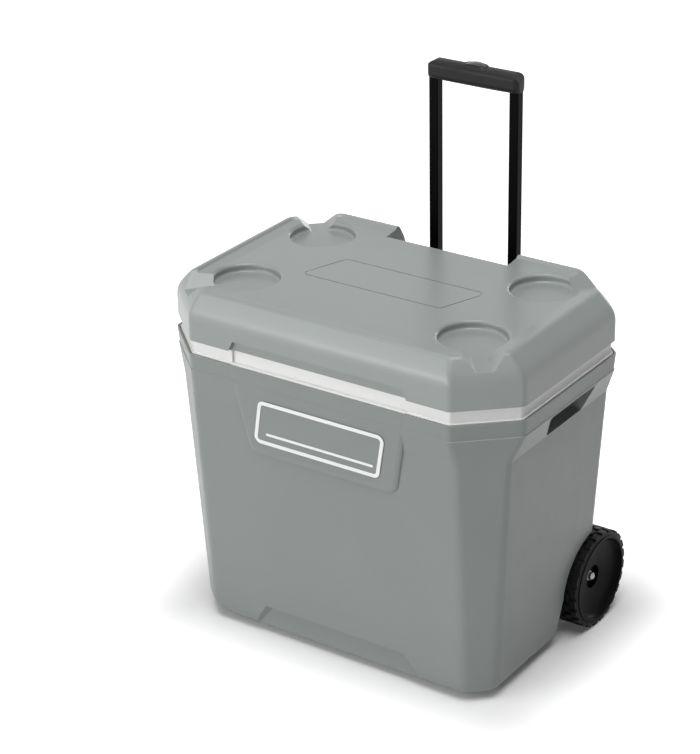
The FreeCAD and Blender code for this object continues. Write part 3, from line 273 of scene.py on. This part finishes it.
def makeCamera():
    turn = math.radians(cameraSettings["turn"])
    rise = math.radians(cameraSettings["rise"])
    roll = math.radians(cameraSettings["roll"])
    back = Vector((math.sin(turn) * math.cos(rise), -math.cos(turn) * math.cos(rise), math.sin(rise)))
    level = Vector((math.cos(turn), math.sin(turn), 0.0))
    upright = back.cross(level)
    right = level * math.cos(roll) + upright * math.sin(roll)
    top = upright * math.cos(roll) - level * math.sin(roll)
    place = Vector(cameraSettings["target"]) + back * cameraSettings["distance"]
    data = bpy.data.cameras.new("camera")
    data.lens = cameraSettings["lens"]
    data.clip_end = cameraSettings["reach"]
    camera = bpy.data.objects.new("camera", data)
    camera.matrix_world = Matrix.Translation(place) @ Matrix((right, top, back)).transposed().to_4x4()
    bpy.context.scene.collection.objects.link(camera)
    bpy.context.scene.camera = camera


floorSettings = {"half": 16.0, "colour": shade(245, 245, 245), "nearLight": 0.05, "farLight": 0.62,
                 "footprint": (0.25, 0.16), "spread": 0.16, "lampsEnd": (0.9, 4.0), "endLight": 0.38}


def sightRays(nodes, links):
    # 1 for rays that reach the eye directly, off a shiny surface or through a clear one
    rays = nodes.new("ShaderNodeLightPath")
    last = rays.outputs["Is Camera Ray"]
    for name in ("Is Glossy Ray", "Is Transmission Ray"):
        either = nodes.new("ShaderNodeMath")
        either.operation = "MAXIMUM"
        links.new(last, either.inputs[0])
        links.new(rays.outputs[name], either.inputs[1])
        last = either.outputs[0]
    return last


def floorLight(nodes, links):
    # how much light of its own the floor shows: little beside the object, a painted shade round its
    # footprint that keeps its shadow dark, and more further off
    place = nodes.new("ShaderNodeTexCoord")
    apart = nodes.new("ShaderNodeSeparateXYZ")
    links.new(place.outputs["Object"], apart.inputs[0])
    away = nodes.new("ShaderNodeCombineXYZ")
    for axis, half in zip("XY", floorSettings["footprint"]):
        last = apart.outputs[axis]
        for operation, value in (("ABSOLUTE", 0.0), ("SUBTRACT", half), ("MAXIMUM", 0.0)):
            step = nodes.new("ShaderNodeMath")
            step.operation = operation
            step.inputs[1].default_value = value
            links.new(last, step.inputs[0])
            last = step.outputs[0]
        links.new(last, away.inputs[axis])
    length = nodes.new("ShaderNodeVectorMath")
    length.operation = "LENGTH"
    links.new(away.outputs[0], length.inputs[0])
    fade = nodes.new("ShaderNodeMapRange")
    fade.interpolation_type = "SMOOTHSTEP"
    fade.inputs["From Max"].default_value = floorSettings["spread"]
    fade.inputs["To Min"].default_value = floorSettings["nearLight"]
    fade.inputs["To Max"].default_value = floorSettings["farLight"]
    links.new(length.outputs["Value"], fade.inputs["Value"])
    # painted light: further off the floor glows more, in place of lamp light
    end = nodes.new("ShaderNodeMapRange")  # makes up for the lamps where they no longer reach
    end.inputs["From Min"].default_value, end.inputs["From Max"].default_value = floorSettings["lampsEnd"]
    end.inputs["To Max"].default_value = floorSettings["endLight"]
    links.new(length.outputs["Value"], end.inputs["Value"])
    total = nodes.new("ShaderNodeMath")
    links.new(fade.outputs["Result"], total.inputs[0])
    links.new(end.outputs["Result"], total.inputs[1])
    return total.outputs[0]


def makeFloor():
    # the floor takes the lamps' light and shadow, and looks white to the eye by a little light of its own,
    # which is held low beside the object as painted shade
    material = bpy.data.materials.new("floor_white")
    material.use_nodes = True
    nodes = material.node_tree.nodes
    links = material.node_tree.links
    nodes.clear()
    output = nodes.new("ShaderNodeOutputMaterial")
    plain = nodes.new("ShaderNodeBsdfDiffuse")
    plain.inputs["Color"].default_value = floorSettings["colour"]
    glow = nodes.new("ShaderNodeEmission")
    glow.inputs["Color"].default_value = (1.0, 1.0, 1.0, 1.0)
    part = nodes.new("ShaderNodeMath")
    part.operation = "MULTIPLY"
    links.new(floorLight(nodes, links), part.inputs[1])
    links.new(sightRays(nodes, links), part.inputs[0])
    links.new(part.outputs[0], glow.inputs["Strength"])
    both = nodes.new("ShaderNodeAddShader")
    links.new(plain.outputs[0], both.inputs[0])
    links.new(glow.outputs[0], both.inputs[1])
    links.new(both.outputs[0], output.inputs[0])
    half = floorSettings["half"]
    mesh = bpy.data.meshes.new("floor")
    corners = [(-half, -half, 0), (half, -half, 0), (half, half, 0), (-half, half, 0)]
    mesh.from_pydata(corners, [], [(0, 1, 2, 3)])
    newObject("floor", mesh, material)


worldSettings = {"room": 0.0, "seen": 1.0}  # what lights the object, and what the eye and shiny surfaces see


def makeWorld():
    world = bpy.data.worlds.new("studio")
    bpy.context.scene.world = world
    world.use_nodes = True
    nodes = world.node_tree.nodes
    links = world.node_tree.links
    nodes.clear()
    output = nodes.new("ShaderNodeOutputWorld")
    room = nodes.new("ShaderNodeBackground")
    room.inputs["Color"].default_value = (1.0, 1.0, 1.0, 1.0)
    room.inputs["Strength"].default_value = worldSettings["room"]
    seen = nodes.new("ShaderNodeBackground")
    seen.inputs["Color"].default_value = (1.0, 1.0, 1.0, 1.0)
    seen.inputs["Strength"].default_value = worldSettings["seen"]
    mix = nodes.new("ShaderNodeMixShader")
    links.new(sightRays(nodes, links), mix.inputs[0])
    links.new(room.outputs[0], mix.inputs[1])
    links.new(seen.outputs[0], mix.inputs[2])
    links.new(mix.outputs[0], output.inputs[0])


lampAim = (0.0, 0.0, 0.3)

lampSettings = {  # where each soft lamp hangs, its size and its power in watts
    "top": {"at": (0.0, 0.0, 5.0), "size": (5.0, 5.0), "watts": 115},
    "key": {"at": (1.0, -1.4, 4.6), "size": (2.6, 2.6), "watts": 100},
    "frontLeft": {"at": (-3.5, -4.2, 2.4), "size": (3.0, 3.0), "watts": 78},
    "frontLow": {"at": (-1.2, -5.2, 1.2), "size": (4.0, 1.6), "watts": 97},
    "rearLow": {"at": (0.0, 5.2, 1.0), "size": (4.0, 1.6), "watts": 62},
}


def makeLamps():
    for name, lamp in lampSettings.items():
        data = bpy.data.lights.new(name, "AREA")
        data.shape = "RECTANGLE"
        data.size, data.size_y = lamp["size"]
        data.energy = lamp["watts"]
        light = bpy.data.objects.new(name, data)
        light.location = lamp["at"]
        light.rotation_euler = (Vector(lampAim) - light.location).to_track_quat("-Z", "Y").to_euler()
        light.visible_camera = False
        bpy.context.scene.collection.objects.link(light)


bpy.context.scene.view_settings.view_transform = "Standard"
makeCamera()
makeFloor()
makeWorld()
makeLamps()
print("studio ready")


# Lid, body and rim

lidSettings = {"edge": 1.2 * mm, "channel": 2.6 * mm, "cornerZone": 205 * mm, "steps": 3,
               "leastTurn": 24, "channelTurn": 100}  # turns between faces, in degrees


def makeLid():
    low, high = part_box("lid_shell")
    widest = max(lidSettings["edge"], lidSettings["channel"])

    def rule(at, turn):
        if turn < lidSettings["leastTurn"]:
            return 0.0
        inCorner = abs(at.x) > lidSettings["cornerZone"] and at.z > (low[2] + high[2]) / 2
        if inCorner and turn < lidSettings["channelTurn"]:
            return lidSettings["channel"] / widest
        return lidSettings["edge"] / widest

    piece = mergedCopy("lid_shell", "lidShell", finishes["lidGrey"])
    weightEdges(piece, rule)
    roundEdges(piece, widest, lidSettings["steps"], byWeight=True)
    seated(piece, "lid", "lid_shell")


bodySettings = {"edge": 1.6 * mm, "crease": 3.0 * mm, "baseTop": 40 * mm, "rimZone": 30 * mm, "steps": 3,
                "leastTurn": 9, "creaseTurn": 30}  # turns between faces, in degrees


def makeBody():
    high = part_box("body_shell")[1]

    def rule(at, turn):
        gentle = turn < bodySettings["creaseTurn"]
        if turn < bodySettings["leastTurn"] or (at.z < bodySettings["baseTop"] and gentle):
            return 0.0
        softened = gentle and at.z < high[2] - bodySettings["rimZone"]
        return 1.0 if softened else bodySettings["edge"] / bodySettings["crease"]

    piece = mergedCopy("body_shell", "bodyShell", finishes["bodyGreyPaintedShade"])
    weightEdges(piece, rule)
    roundEdges(piece, bodySettings["crease"], bodySettings["steps"], byWeight=True)
    seated(piece, "chest", "body_shell")


lipSettings = {"half": 140.4 * mm, "forward": 1.4 * mm, "back": 7.0 * mm, "thick": 2.0 * mm,
               "roll": {"width": 0.4 * mm}}
rimSettings = {"collar": {"width": 0.7 * mm, "steps": 3}, "tub": {"width": 1.2 * mm},
               "lidLiner": {"width": 1.0 * mm}}


def makeLip():
    # strip of the rim that closes the gap in front of the finger recess, flush with the collar's own lip
    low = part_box("rim_collar")[0]
    forward, back, thick = lipSettings["forward"], lipSettings["back"], lipSettings["thick"]
    skin = blockSkin((2 * lipSettings["half"], forward + back, thick))
    middle = (0.0, low[1] + (back - forward) / 2, low[2] + thick / 2)
    bmesh.ops.translate(skin, vec=middle, verts=skin.verts)
    piece = roundEdges(fromSkin(skin, "rimLip", finishes["white"]), **lipSettings["roll"])
    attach(piece, "chest")


def makeRim():
    makeLip()
    dressed("rim_collar", "rimCollar", "chest", "white", rimSettings["collar"])
    dressed("inner_liner", "innerTub", "chest", "tub", rimSettings["tub"])
    dressed("lid_liner", "lidLiner", "lid", "tub", rimSettings["lidLiner"])


makeLid()
makeBody()
makeRim()
print("lid, body and rim ready")


# Badge

badgeSettings = {"frame": {"width": 0.45 * mm, "steps": 3}, "plate": {"width": 0.3 * mm}}


def makeBadge():
    dressed("badge_frame", "badgeFrame", "chest", "badgeWhite", badgeSettings["frame"])
    dressed("badge_plate", "badgePlate", "chest", "bodyGreyPaintedShade", badgeSettings["plate"])


makeBadge()
print("badge ready")


# Node groups for what repeats

def newGroup(name, given):
    # an empty tree with a geometry in, a geometry out and its own named inputs
    tree = bpy.data.node_groups.new(name, "GeometryNodeTree")
    tree.interface.new_socket("Geometry", in_out="INPUT", socket_type="NodeSocketGeometry")
    for label, kind in given.items():
        tree.interface.new_socket(label, in_out="INPUT", socket_type="NodeSocket" + kind)
    tree.interface.new_socket("Geometry", in_out="OUTPUT", socket_type="NodeSocketGeometry")
    return tree


def mathNode(tree, operation, first, second):
    step = tree.nodes.new("ShaderNodeMath")
    step.operation = operation
    for i, value in enumerate((first, second)):
        if isinstance(value, (int, float)):
            step.inputs[i].default_value = value
        elif value is not None:
            tree.links.new(value, step.inputs[i])
    return step.outputs[0]


def ringGroup():
    # rows of one block turned about the X axis, every other row moved round by a share of the pitch
    tree = newGroup("ringOfBlocks", {"Block": "Object", "Blocks": "Int", "Rows": "Int", "First": "Float",
                                     "Step": "Float", "Stagger": "Float", "Centre": "Vector",
                                     "Finish": "Material"})
    nodes = tree.nodes
    links = tree.links
    given = nodes.new("NodeGroupInput").outputs
    result = nodes.new("NodeGroupOutput")
    points = nodes.new("GeometryNodePoints")
    links.new(mathNode(tree, "MULTIPLY", given["Blocks"], given["Rows"]), points.inputs["Count"])
    index = nodes.new("GeometryNodeInputIndex").outputs[0]
    halfOn = mathNode(tree, "ADD", index, 0.5)  # so that rounding can't put a block in the row before
    row = mathNode(tree, "FLOOR", mathNode(tree, "DIVIDE", halfOn, given["Blocks"]), None)
    along = mathNode(tree, "ADD", given["First"], mathNode(tree, "MULTIPLY", row, given["Step"]))
    shift = mathNode(tree, "MULTIPLY", mathNode(tree, "MODULO", row, 2.0), given["Stagger"])
    share = mathNode(tree, "DIVIDE", mathNode(tree, "ADD", index, shift), given["Blocks"])
    place = nodes.new("ShaderNodeCombineXYZ")
    links.new(along, place.inputs["X"])
    total = nodes.new("ShaderNodeVectorMath")
    links.new(place.outputs[0], total.inputs[0])
    links.new(given["Centre"], total.inputs[1])
    links.new(total.outputs[0], points.inputs["Position"])
    turn = nodes.new("ShaderNodeCombineXYZ")
    links.new(mathNode(tree, "MULTIPLY", share, 2 * math.pi), turn.inputs["X"])
    block = nodes.new("GeometryNodeObjectInfo")
    links.new(given["Block"], block.inputs["Object"])
    copies = nodes.new("GeometryNodeInstanceOnPoints")
    links.new(points.outputs[0], copies.inputs["Points"])
    links.new(block.outputs["Geometry"], copies.inputs["Instance"])
    links.new(turn.outputs[0], copies.inputs["Rotation"])
    finishGroup(tree, given, copies.outputs[0], result)
    return tree


def scatterGroup():
    # one object set down on every vertex of the given mesh
    tree = newGroup("oneOnEachPlace", {"Piece": "Object", "Finish": "Material"})
    given = tree.nodes.new("NodeGroupInput").outputs
    result = tree.nodes.new("NodeGroupOutput")
    held = tree.nodes.new("GeometryNodeObjectInfo")
    tree.links.new(given["Piece"], held.inputs["Object"])
    copies = tree.nodes.new("GeometryNodeInstanceOnPoints")
    tree.links.new(given["Geometry"], copies.inputs["Points"])
    tree.links.new(held.outputs["Geometry"], copies.inputs["Instance"])
    finishGroup(tree, given, copies.outputs[0], result, False)
    return tree


def finishGroup(tree, given, copies, result, keepOwn=True):
    # makes the copies real, gives them their finish and adds them to the piece itself
    real = tree.nodes.new("GeometryNodeRealizeInstances")
    tree.links.new(copies, real.inputs[0])
    dress = tree.nodes.new("GeometryNodeSetMaterial")
    join = tree.nodes.new("GeometryNodeJoinGeometry")
    tree.links.new(real.outputs[0], join.inputs[0])
    if keepOwn:
        tree.links.new(given["Geometry"], join.inputs[0])
    tree.links.new(join.outputs[0], dress.inputs["Geometry"])
    tree.links.new(given["Finish"], dress.inputs["Material"])
    tree.links.new(dress.outputs[0], result.inputs[0])


def repeated(piece, group, values):
    # runs a node group on the piece with its named inputs set, and works the result into a plain mesh
    worked = piece.modifiers.new("repeat", "NODES")
    worked.node_group = group
    for socket in group.interface.items_tree:
        if socket.in_out == "INPUT" and socket.name in values:
            worked[socket.identifier] = values[socket.name]
    bpy.context.view_layer.update()
    baked(piece)
    piece.data.materials.clear()
    piece.data.materials.append(values["Finish"])


ring = ringGroup()
scatter = scatterGroup()


def lathed(name, outline, centre, steps, material):
    # a closed outline of x and radius pairs turned about the X axis
    skin = bmesh.new()
    rings = []
    for i in range(steps):
        turn = 2 * math.pi * i / steps
        across, up = math.cos(turn), math.sin(turn)
        rings.append([skin.verts.new((x, centre[1] + r * across, centre[2] + r * up)) for x, r in outline])
    count = len(outline)
    for i in range(steps):
        near = rings[i]
        far = rings[(i + 1) % steps]
        for j in range(count):
            k = (j + 1) % count
            skin.faces.new((near[j], near[k], far[k], far[j]))
    bmesh.ops.recalc_face_normals(skin, faces=skin.faces)
    return fromSkin(skin, name, material)


# Wheels and tyres

tyreSettings = {"rows": 4, "blocks": 24, "stagger": 0.5, "share": 0.66, "blockCuts": 4, "steps": 120,
                "thick": 6.8 * mm, "groove": 2.6 * mm, "root": 0.6 * mm, "gap": 1.5 * mm,
                "shoulder": 2.4 * mm, "shoulderSteps": 4, "under": 0.02 * mm,  # kept inside the CAD tyre
                "roll": {"width": 0.45 * mm, "leastTurn": 40}}
hubSettings = {"hub": {"width": 0.8 * mm, "leastTurn": 14}, "cap": {"width": 0.5 * mm, "steps": 3}}


def treadBlock(radius, width, length):
    # one block at the top of the wheel, its crown following the tyre's curve
    skin = bmesh.new()
    cuts = tyreSettings["blockCuts"]
    rows = []
    for x in (-width / 2, width / 2):
        for r in (radius - tyreSettings["groove"] - tyreSettings["root"], radius):
            row = []
            for i in range(cuts + 1):
                turn = (i / cuts - 0.5) * length / radius
                row.append(skin.verts.new((x, -r * math.sin(turn), r * math.cos(turn))))
            rows.append(row)
    sides = [(rows[0], rows[1]), (rows[1], rows[3]), (rows[3], rows[2]), (rows[2], rows[0])]
    for near, far in sides:
        for i in range(cuts):
            skin.faces.new((near[i], near[i + 1], far[i + 1], far[i]))
    for i in (0, cuts):
        skin.faces.new((rows[0][i], rows[1][i], rows[3][i], rows[2][i]))
    bmesh.ops.recalc_face_normals(skin, faces=skin.faces)
    return roundEdges(fromSkin(skin, "treadBlock"), **tyreSettings["roll"])


def makeTyre(side):
    low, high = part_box("tyre_" + side)
    centre = middleOf("tyre_" + side)
    radius = (high[2] - low[2]) / 2 - tyreSettings["under"]
    inner = radius - tyreSettings["thick"]
    base = radius - tyreSettings["groove"]
    x0, x1 = low[0], high[0]
    lip = tyreSettings["shoulder"]
    outline = [(x0, inner), (x0, base - lip)]
    for i in range(1, tyreSettings["shoulderSteps"] + 1):
        turn = math.pi / 2 * i / tyreSettings["shoulderSteps"]
        outline.append((x0 + lip * (1 - math.cos(turn)), base - lip + lip * math.sin(turn)))
    outline += [(x0 + x1 - x, r) for x, r in reversed(outline)]
    black = finishes["tyreBlack"]
    tyre = lathed("tyre" + side.capitalize(), outline, centre, tyreSettings["steps"], black)
    smoothed(tyre)
    step = (x1 - x0) / tyreSettings["rows"]
    length = 2 * math.pi * radius / tyreSettings["blocks"] * tyreSettings["share"]
    block = treadBlock(radius, step - tyreSettings["gap"], length)
    repeated(tyre, ring, {"Block": block, "Blocks": tyreSettings["blocks"], "Rows": tyreSettings["rows"],
                          "First": x0 + step / 2, "Step": step, "Stagger": tyreSettings["stagger"],
                          "Centre": (0.0, centre.y, centre.z), "Finish": black})
    bpy.data.objects.remove(block)
    seated(tyre, "wheel_" + side, "tyre_" + side)


def makeWheel(side):
    wheel = "wheel_" + side
    tail = side.capitalize()
    makeTyre(side)
    dressed(wheel, "hub" + tail, wheel, "hubBlack", hubSettings["hub"])
    dressed("axle_cap_" + side, "cap" + tail, "chest", "capSteel", hubSettings["cap"])


makeWheel("left")
makeWheel("right")
print("wheels ready")


# Tow handle, its brackets and the button

handleSettings = {
    "slim": 0.87, "endRound": 9.0 * mm, "endCuts": 6,  # the grip's height share and its ends
    "grip": {"width": 0.6 * mm, "leastTurn": 30},
    "screw": {"width": 0.1 * mm, "leastTurn": 30},
    "button": {"width": 0.9 * mm, "steps": 3, "leastTurn": 30},
    "bracket": {"width": 1.2 * mm, "steps": 3},
    "innerTube": {"width": 0.15 * mm, "leastTurn": 50},
    "guideTube": {"width": 0.5 * mm, "leastTurn": 50},
}


def shapeGrip(piece):
    # draws the grip's foot up towards its top, and its depth in along a round corner at both ends
    low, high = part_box("grip_upper")
    half = high[0]
    deep = (high[1] - low[1]) / 2
    middle = (high[1] + low[1]) / 2
    radius = handleSettings["endRound"]
    cuts = handleSettings["endCuts"]
    nearly = toolSettings["nearly"]
    skin = bmesh.new()
    skin.from_mesh(piece.data)
    for side in (-1, 1):
        for i in range(cuts):
            x = side * (half - radius + radius * math.sin(math.pi / 2 * i / cuts))
            parts = skin.verts[:] + skin.edges[:] + skin.faces[:]
            bmesh.ops.bisect_plane(skin, geom=parts, plane_co=(x, 0, 0), plane_no=(1, 0, 0), dist=nearly)
    for vert in skin.verts:
        over = min(max(abs(vert.co.x) - (half - radius), 0.0), radius)
        reach = deep - radius + math.sqrt(radius ** 2 - over ** 2)
        vert.co.y = middle + (vert.co.y - middle) * reach / deep
        vert.co.z = high[2] + (vert.co.z - high[2]) * handleSettings["slim"]
    skin.to_mesh(piece.data)
    skin.free()
    return piece


def makeGrip(node, name, look, roll):
    piece = roundEdges(shapeGrip(mergedCopy(node, name, finishes[look])), **roll)
    seated(piece, "handle", node)


def makeHandle():
    for half in ("lower", "upper"):
        name = "grip" + half.capitalize()
        makeGrip("grip_" + half, name, "gripBlack", handleSettings["grip"])
    makeGrip("grip_screws", "gripScrews", "steel", handleSettings["screw"])
    dressed("push_button", "pushButton", "button", "buttonBlack", handleSettings["button"])
    for node, name in (("handle_collar", "handleCollar"), ("handle_foot", "handleFoot")):
        dressed(node, name, "chest", "mouldBlack", handleSettings["bracket"])
    for side in ("left", "right"):
        for kind, body in (("inner", "handle"), ("guide", "chest")):
            name = kind + "Tube"
            dressed(kind + "_tube_" + side, name + side.capitalize(), body, "tubeBlack",
                    handleSettings[name])


makeHandle()
print("handle ready")


# Hinges, screws, drain and feet

screwSettings = {"head": 4.0 * mm, "high": 2.3 * mm, "steps": 36,
                 "dome": 0.9 * mm, "domeShare": 0.5, "domeSteps": 6,  # the rounding of its face
                 "slotWide": 1.0 * mm, "slotLong": 5.2 * mm, "slotDeep": 1.0 * mm,
                 "roll": {"width": 0.15 * mm, "leastTurn": 30}}


def placesOf(node):
    # every loose body of the node, as the box round it
    skin = weldedSkin(node)
    unseen = set(skin.verts)
    boxes = []
    while unseen:
        reach = [unseen.pop()]
        island = []
        while reach:
            vert = reach.pop()
            island.append(vert.co.copy())
            for edge in vert.link_edges:
                other = edge.other_vert(vert)
                if other in unseen:
                    unseen.remove(other)
                    reach.append(other)
        low = Vector([min(at[i] for at in island) for i in range(3)])
        high = Vector([max(at[i] for at in island) for i in range(3)])
        boxes.append((low, high))
    skin.free()
    return boxes


def screwHead():
    # pan head facing +Y with a cross cut in it, its face at y = 0
    radius, high, steps = screwSettings["head"], screwSettings["high"], screwSettings["domeSteps"]
    outline = [(0.0, 0.0)]
    for i in range(steps + 1):
        turn = math.pi / 2 * i / steps
        outline.append((radius * (1 - (1 - math.sin(turn)) * screwSettings["domeShare"]),
                        -screwSettings["dome"] * (1 - math.cos(turn))))
    outline.append((radius, -high))
    outline.append((0.0, -high))
    skin = bmesh.new()
    verts = [skin.verts.new((r, y, 0.0)) for r, y in outline]
    edges = [skin.edges.new((verts[i], verts[i + 1])) for i in range(len(verts) - 1)]
    bmesh.ops.spin(skin, geom=verts + edges, cent=(0, 0, 0), axis=(0, 1, 0), angle=2 * math.pi,
                   steps=screwSettings["steps"])
    bmesh.ops.remove_doubles(skin, verts=skin.verts, dist=toolSettings["nearly"])
    bmesh.ops.recalc_face_normals(skin, faces=skin.faces)
    head = fromSkin(skin, "screwHead")
    slotSize = (screwSettings["slotLong"], 2 * screwSettings["slotDeep"], screwSettings["slotWide"])
    for turn in (0.0, math.pi / 2):
        cutter = blockSkin(slotSize)
        bmesh.ops.rotate(cutter, cent=(0, 0, 0), matrix=Matrix.Rotation(turn, 3, "Y"), verts=cutter.verts)
        slot = fromSkin(cutter, "slot")
        cut = head.modifiers.new("cut", "BOOLEAN")
        cut.operation = "DIFFERENCE"
        cut.object = slot
        baked(head)
        bpy.data.objects.remove(slot)
    return roundEdges(head, **screwSettings["roll"])


def makeScrews(node, name, body, head):
    places = []
    for low, high in placesOf(node):
        places.append(((low.x + high.x) / 2, high.y, (low.z + high.z) / 2))
    mesh = bpy.data.meshes.new(name)
    mesh.from_pydata(places, [], [])
    piece = newObject(name, mesh)
    repeated(piece, scatter, {"Piece": head, "Finish": finishes["steel"]})
    seated(piece, body, node)


head = screwHead()
makeScrews("body_screws", "bodyScrewHeads", "chest", head)
makeScrews("lid_hinge_screws", "lidScrewHeads", "lid", head)
bpy.data.objects.remove(head)


smallSettings = {
    "leaf": {"width": 0.5 * mm, "leastTurn": 30},
    "fitting": {"width": 0.8 * mm, "steps": 3, "leastTurn": 30},
    "cap": {"width": 0.6 * mm, "steps": 3, "leastTurn": 40},
    "foot": {"width": 1.0 * mm, "steps": 3},
}


def makeSmallParts():
    for side in ("left", "right"):
        for kind, body in (("body", "chest"), ("lid", "lid")):
            dressed("hinge_" + kind + "_leaf_" + side, kind + "Leaf" + side.capitalize(), body, "lidGrey",
                    smallSettings["leaf"])
    dressed("drain_fitting", "drainFitting", "chest", "white", smallSettings["fitting"])
    dressed("drain_cap", "drainCap", "drain_cap", "mouldBlack", smallSettings["cap"])
    dressed("front_feet", "frontFeet", "chest", "rubber", smallSettings["foot"])


makeSmallParts()
print("hinges, screws, drain and feet ready")


# Everything whose CAD shape is right gets its finish

plainFinishes = {
    "foam": ["foam_core", "lid_foam"],
    "rubber": ["drain_gasket"],
    "white": ["drain_nut"],
    "steel": ["axle", "hinge_pin_left", "hinge_pin_right", "lock_pin_left", "lock_pin_right",
              "lock_spring_left", "lock_spring_right", "button_spring", "push_rod_left", "push_rod_right"],
    "mouldBlack": ["lock_block_left", "lock_block_right", "axle_bush_left", "axle_bush_right"],
}


def finishNodes():
    for name, nodes in plainFinishes.items():
        for node in nodes:
            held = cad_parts[node]
            for slotPlace in held.material_slots:
                slotPlace.material = finishes[name]


finishNodes()
print("finishes laid on")
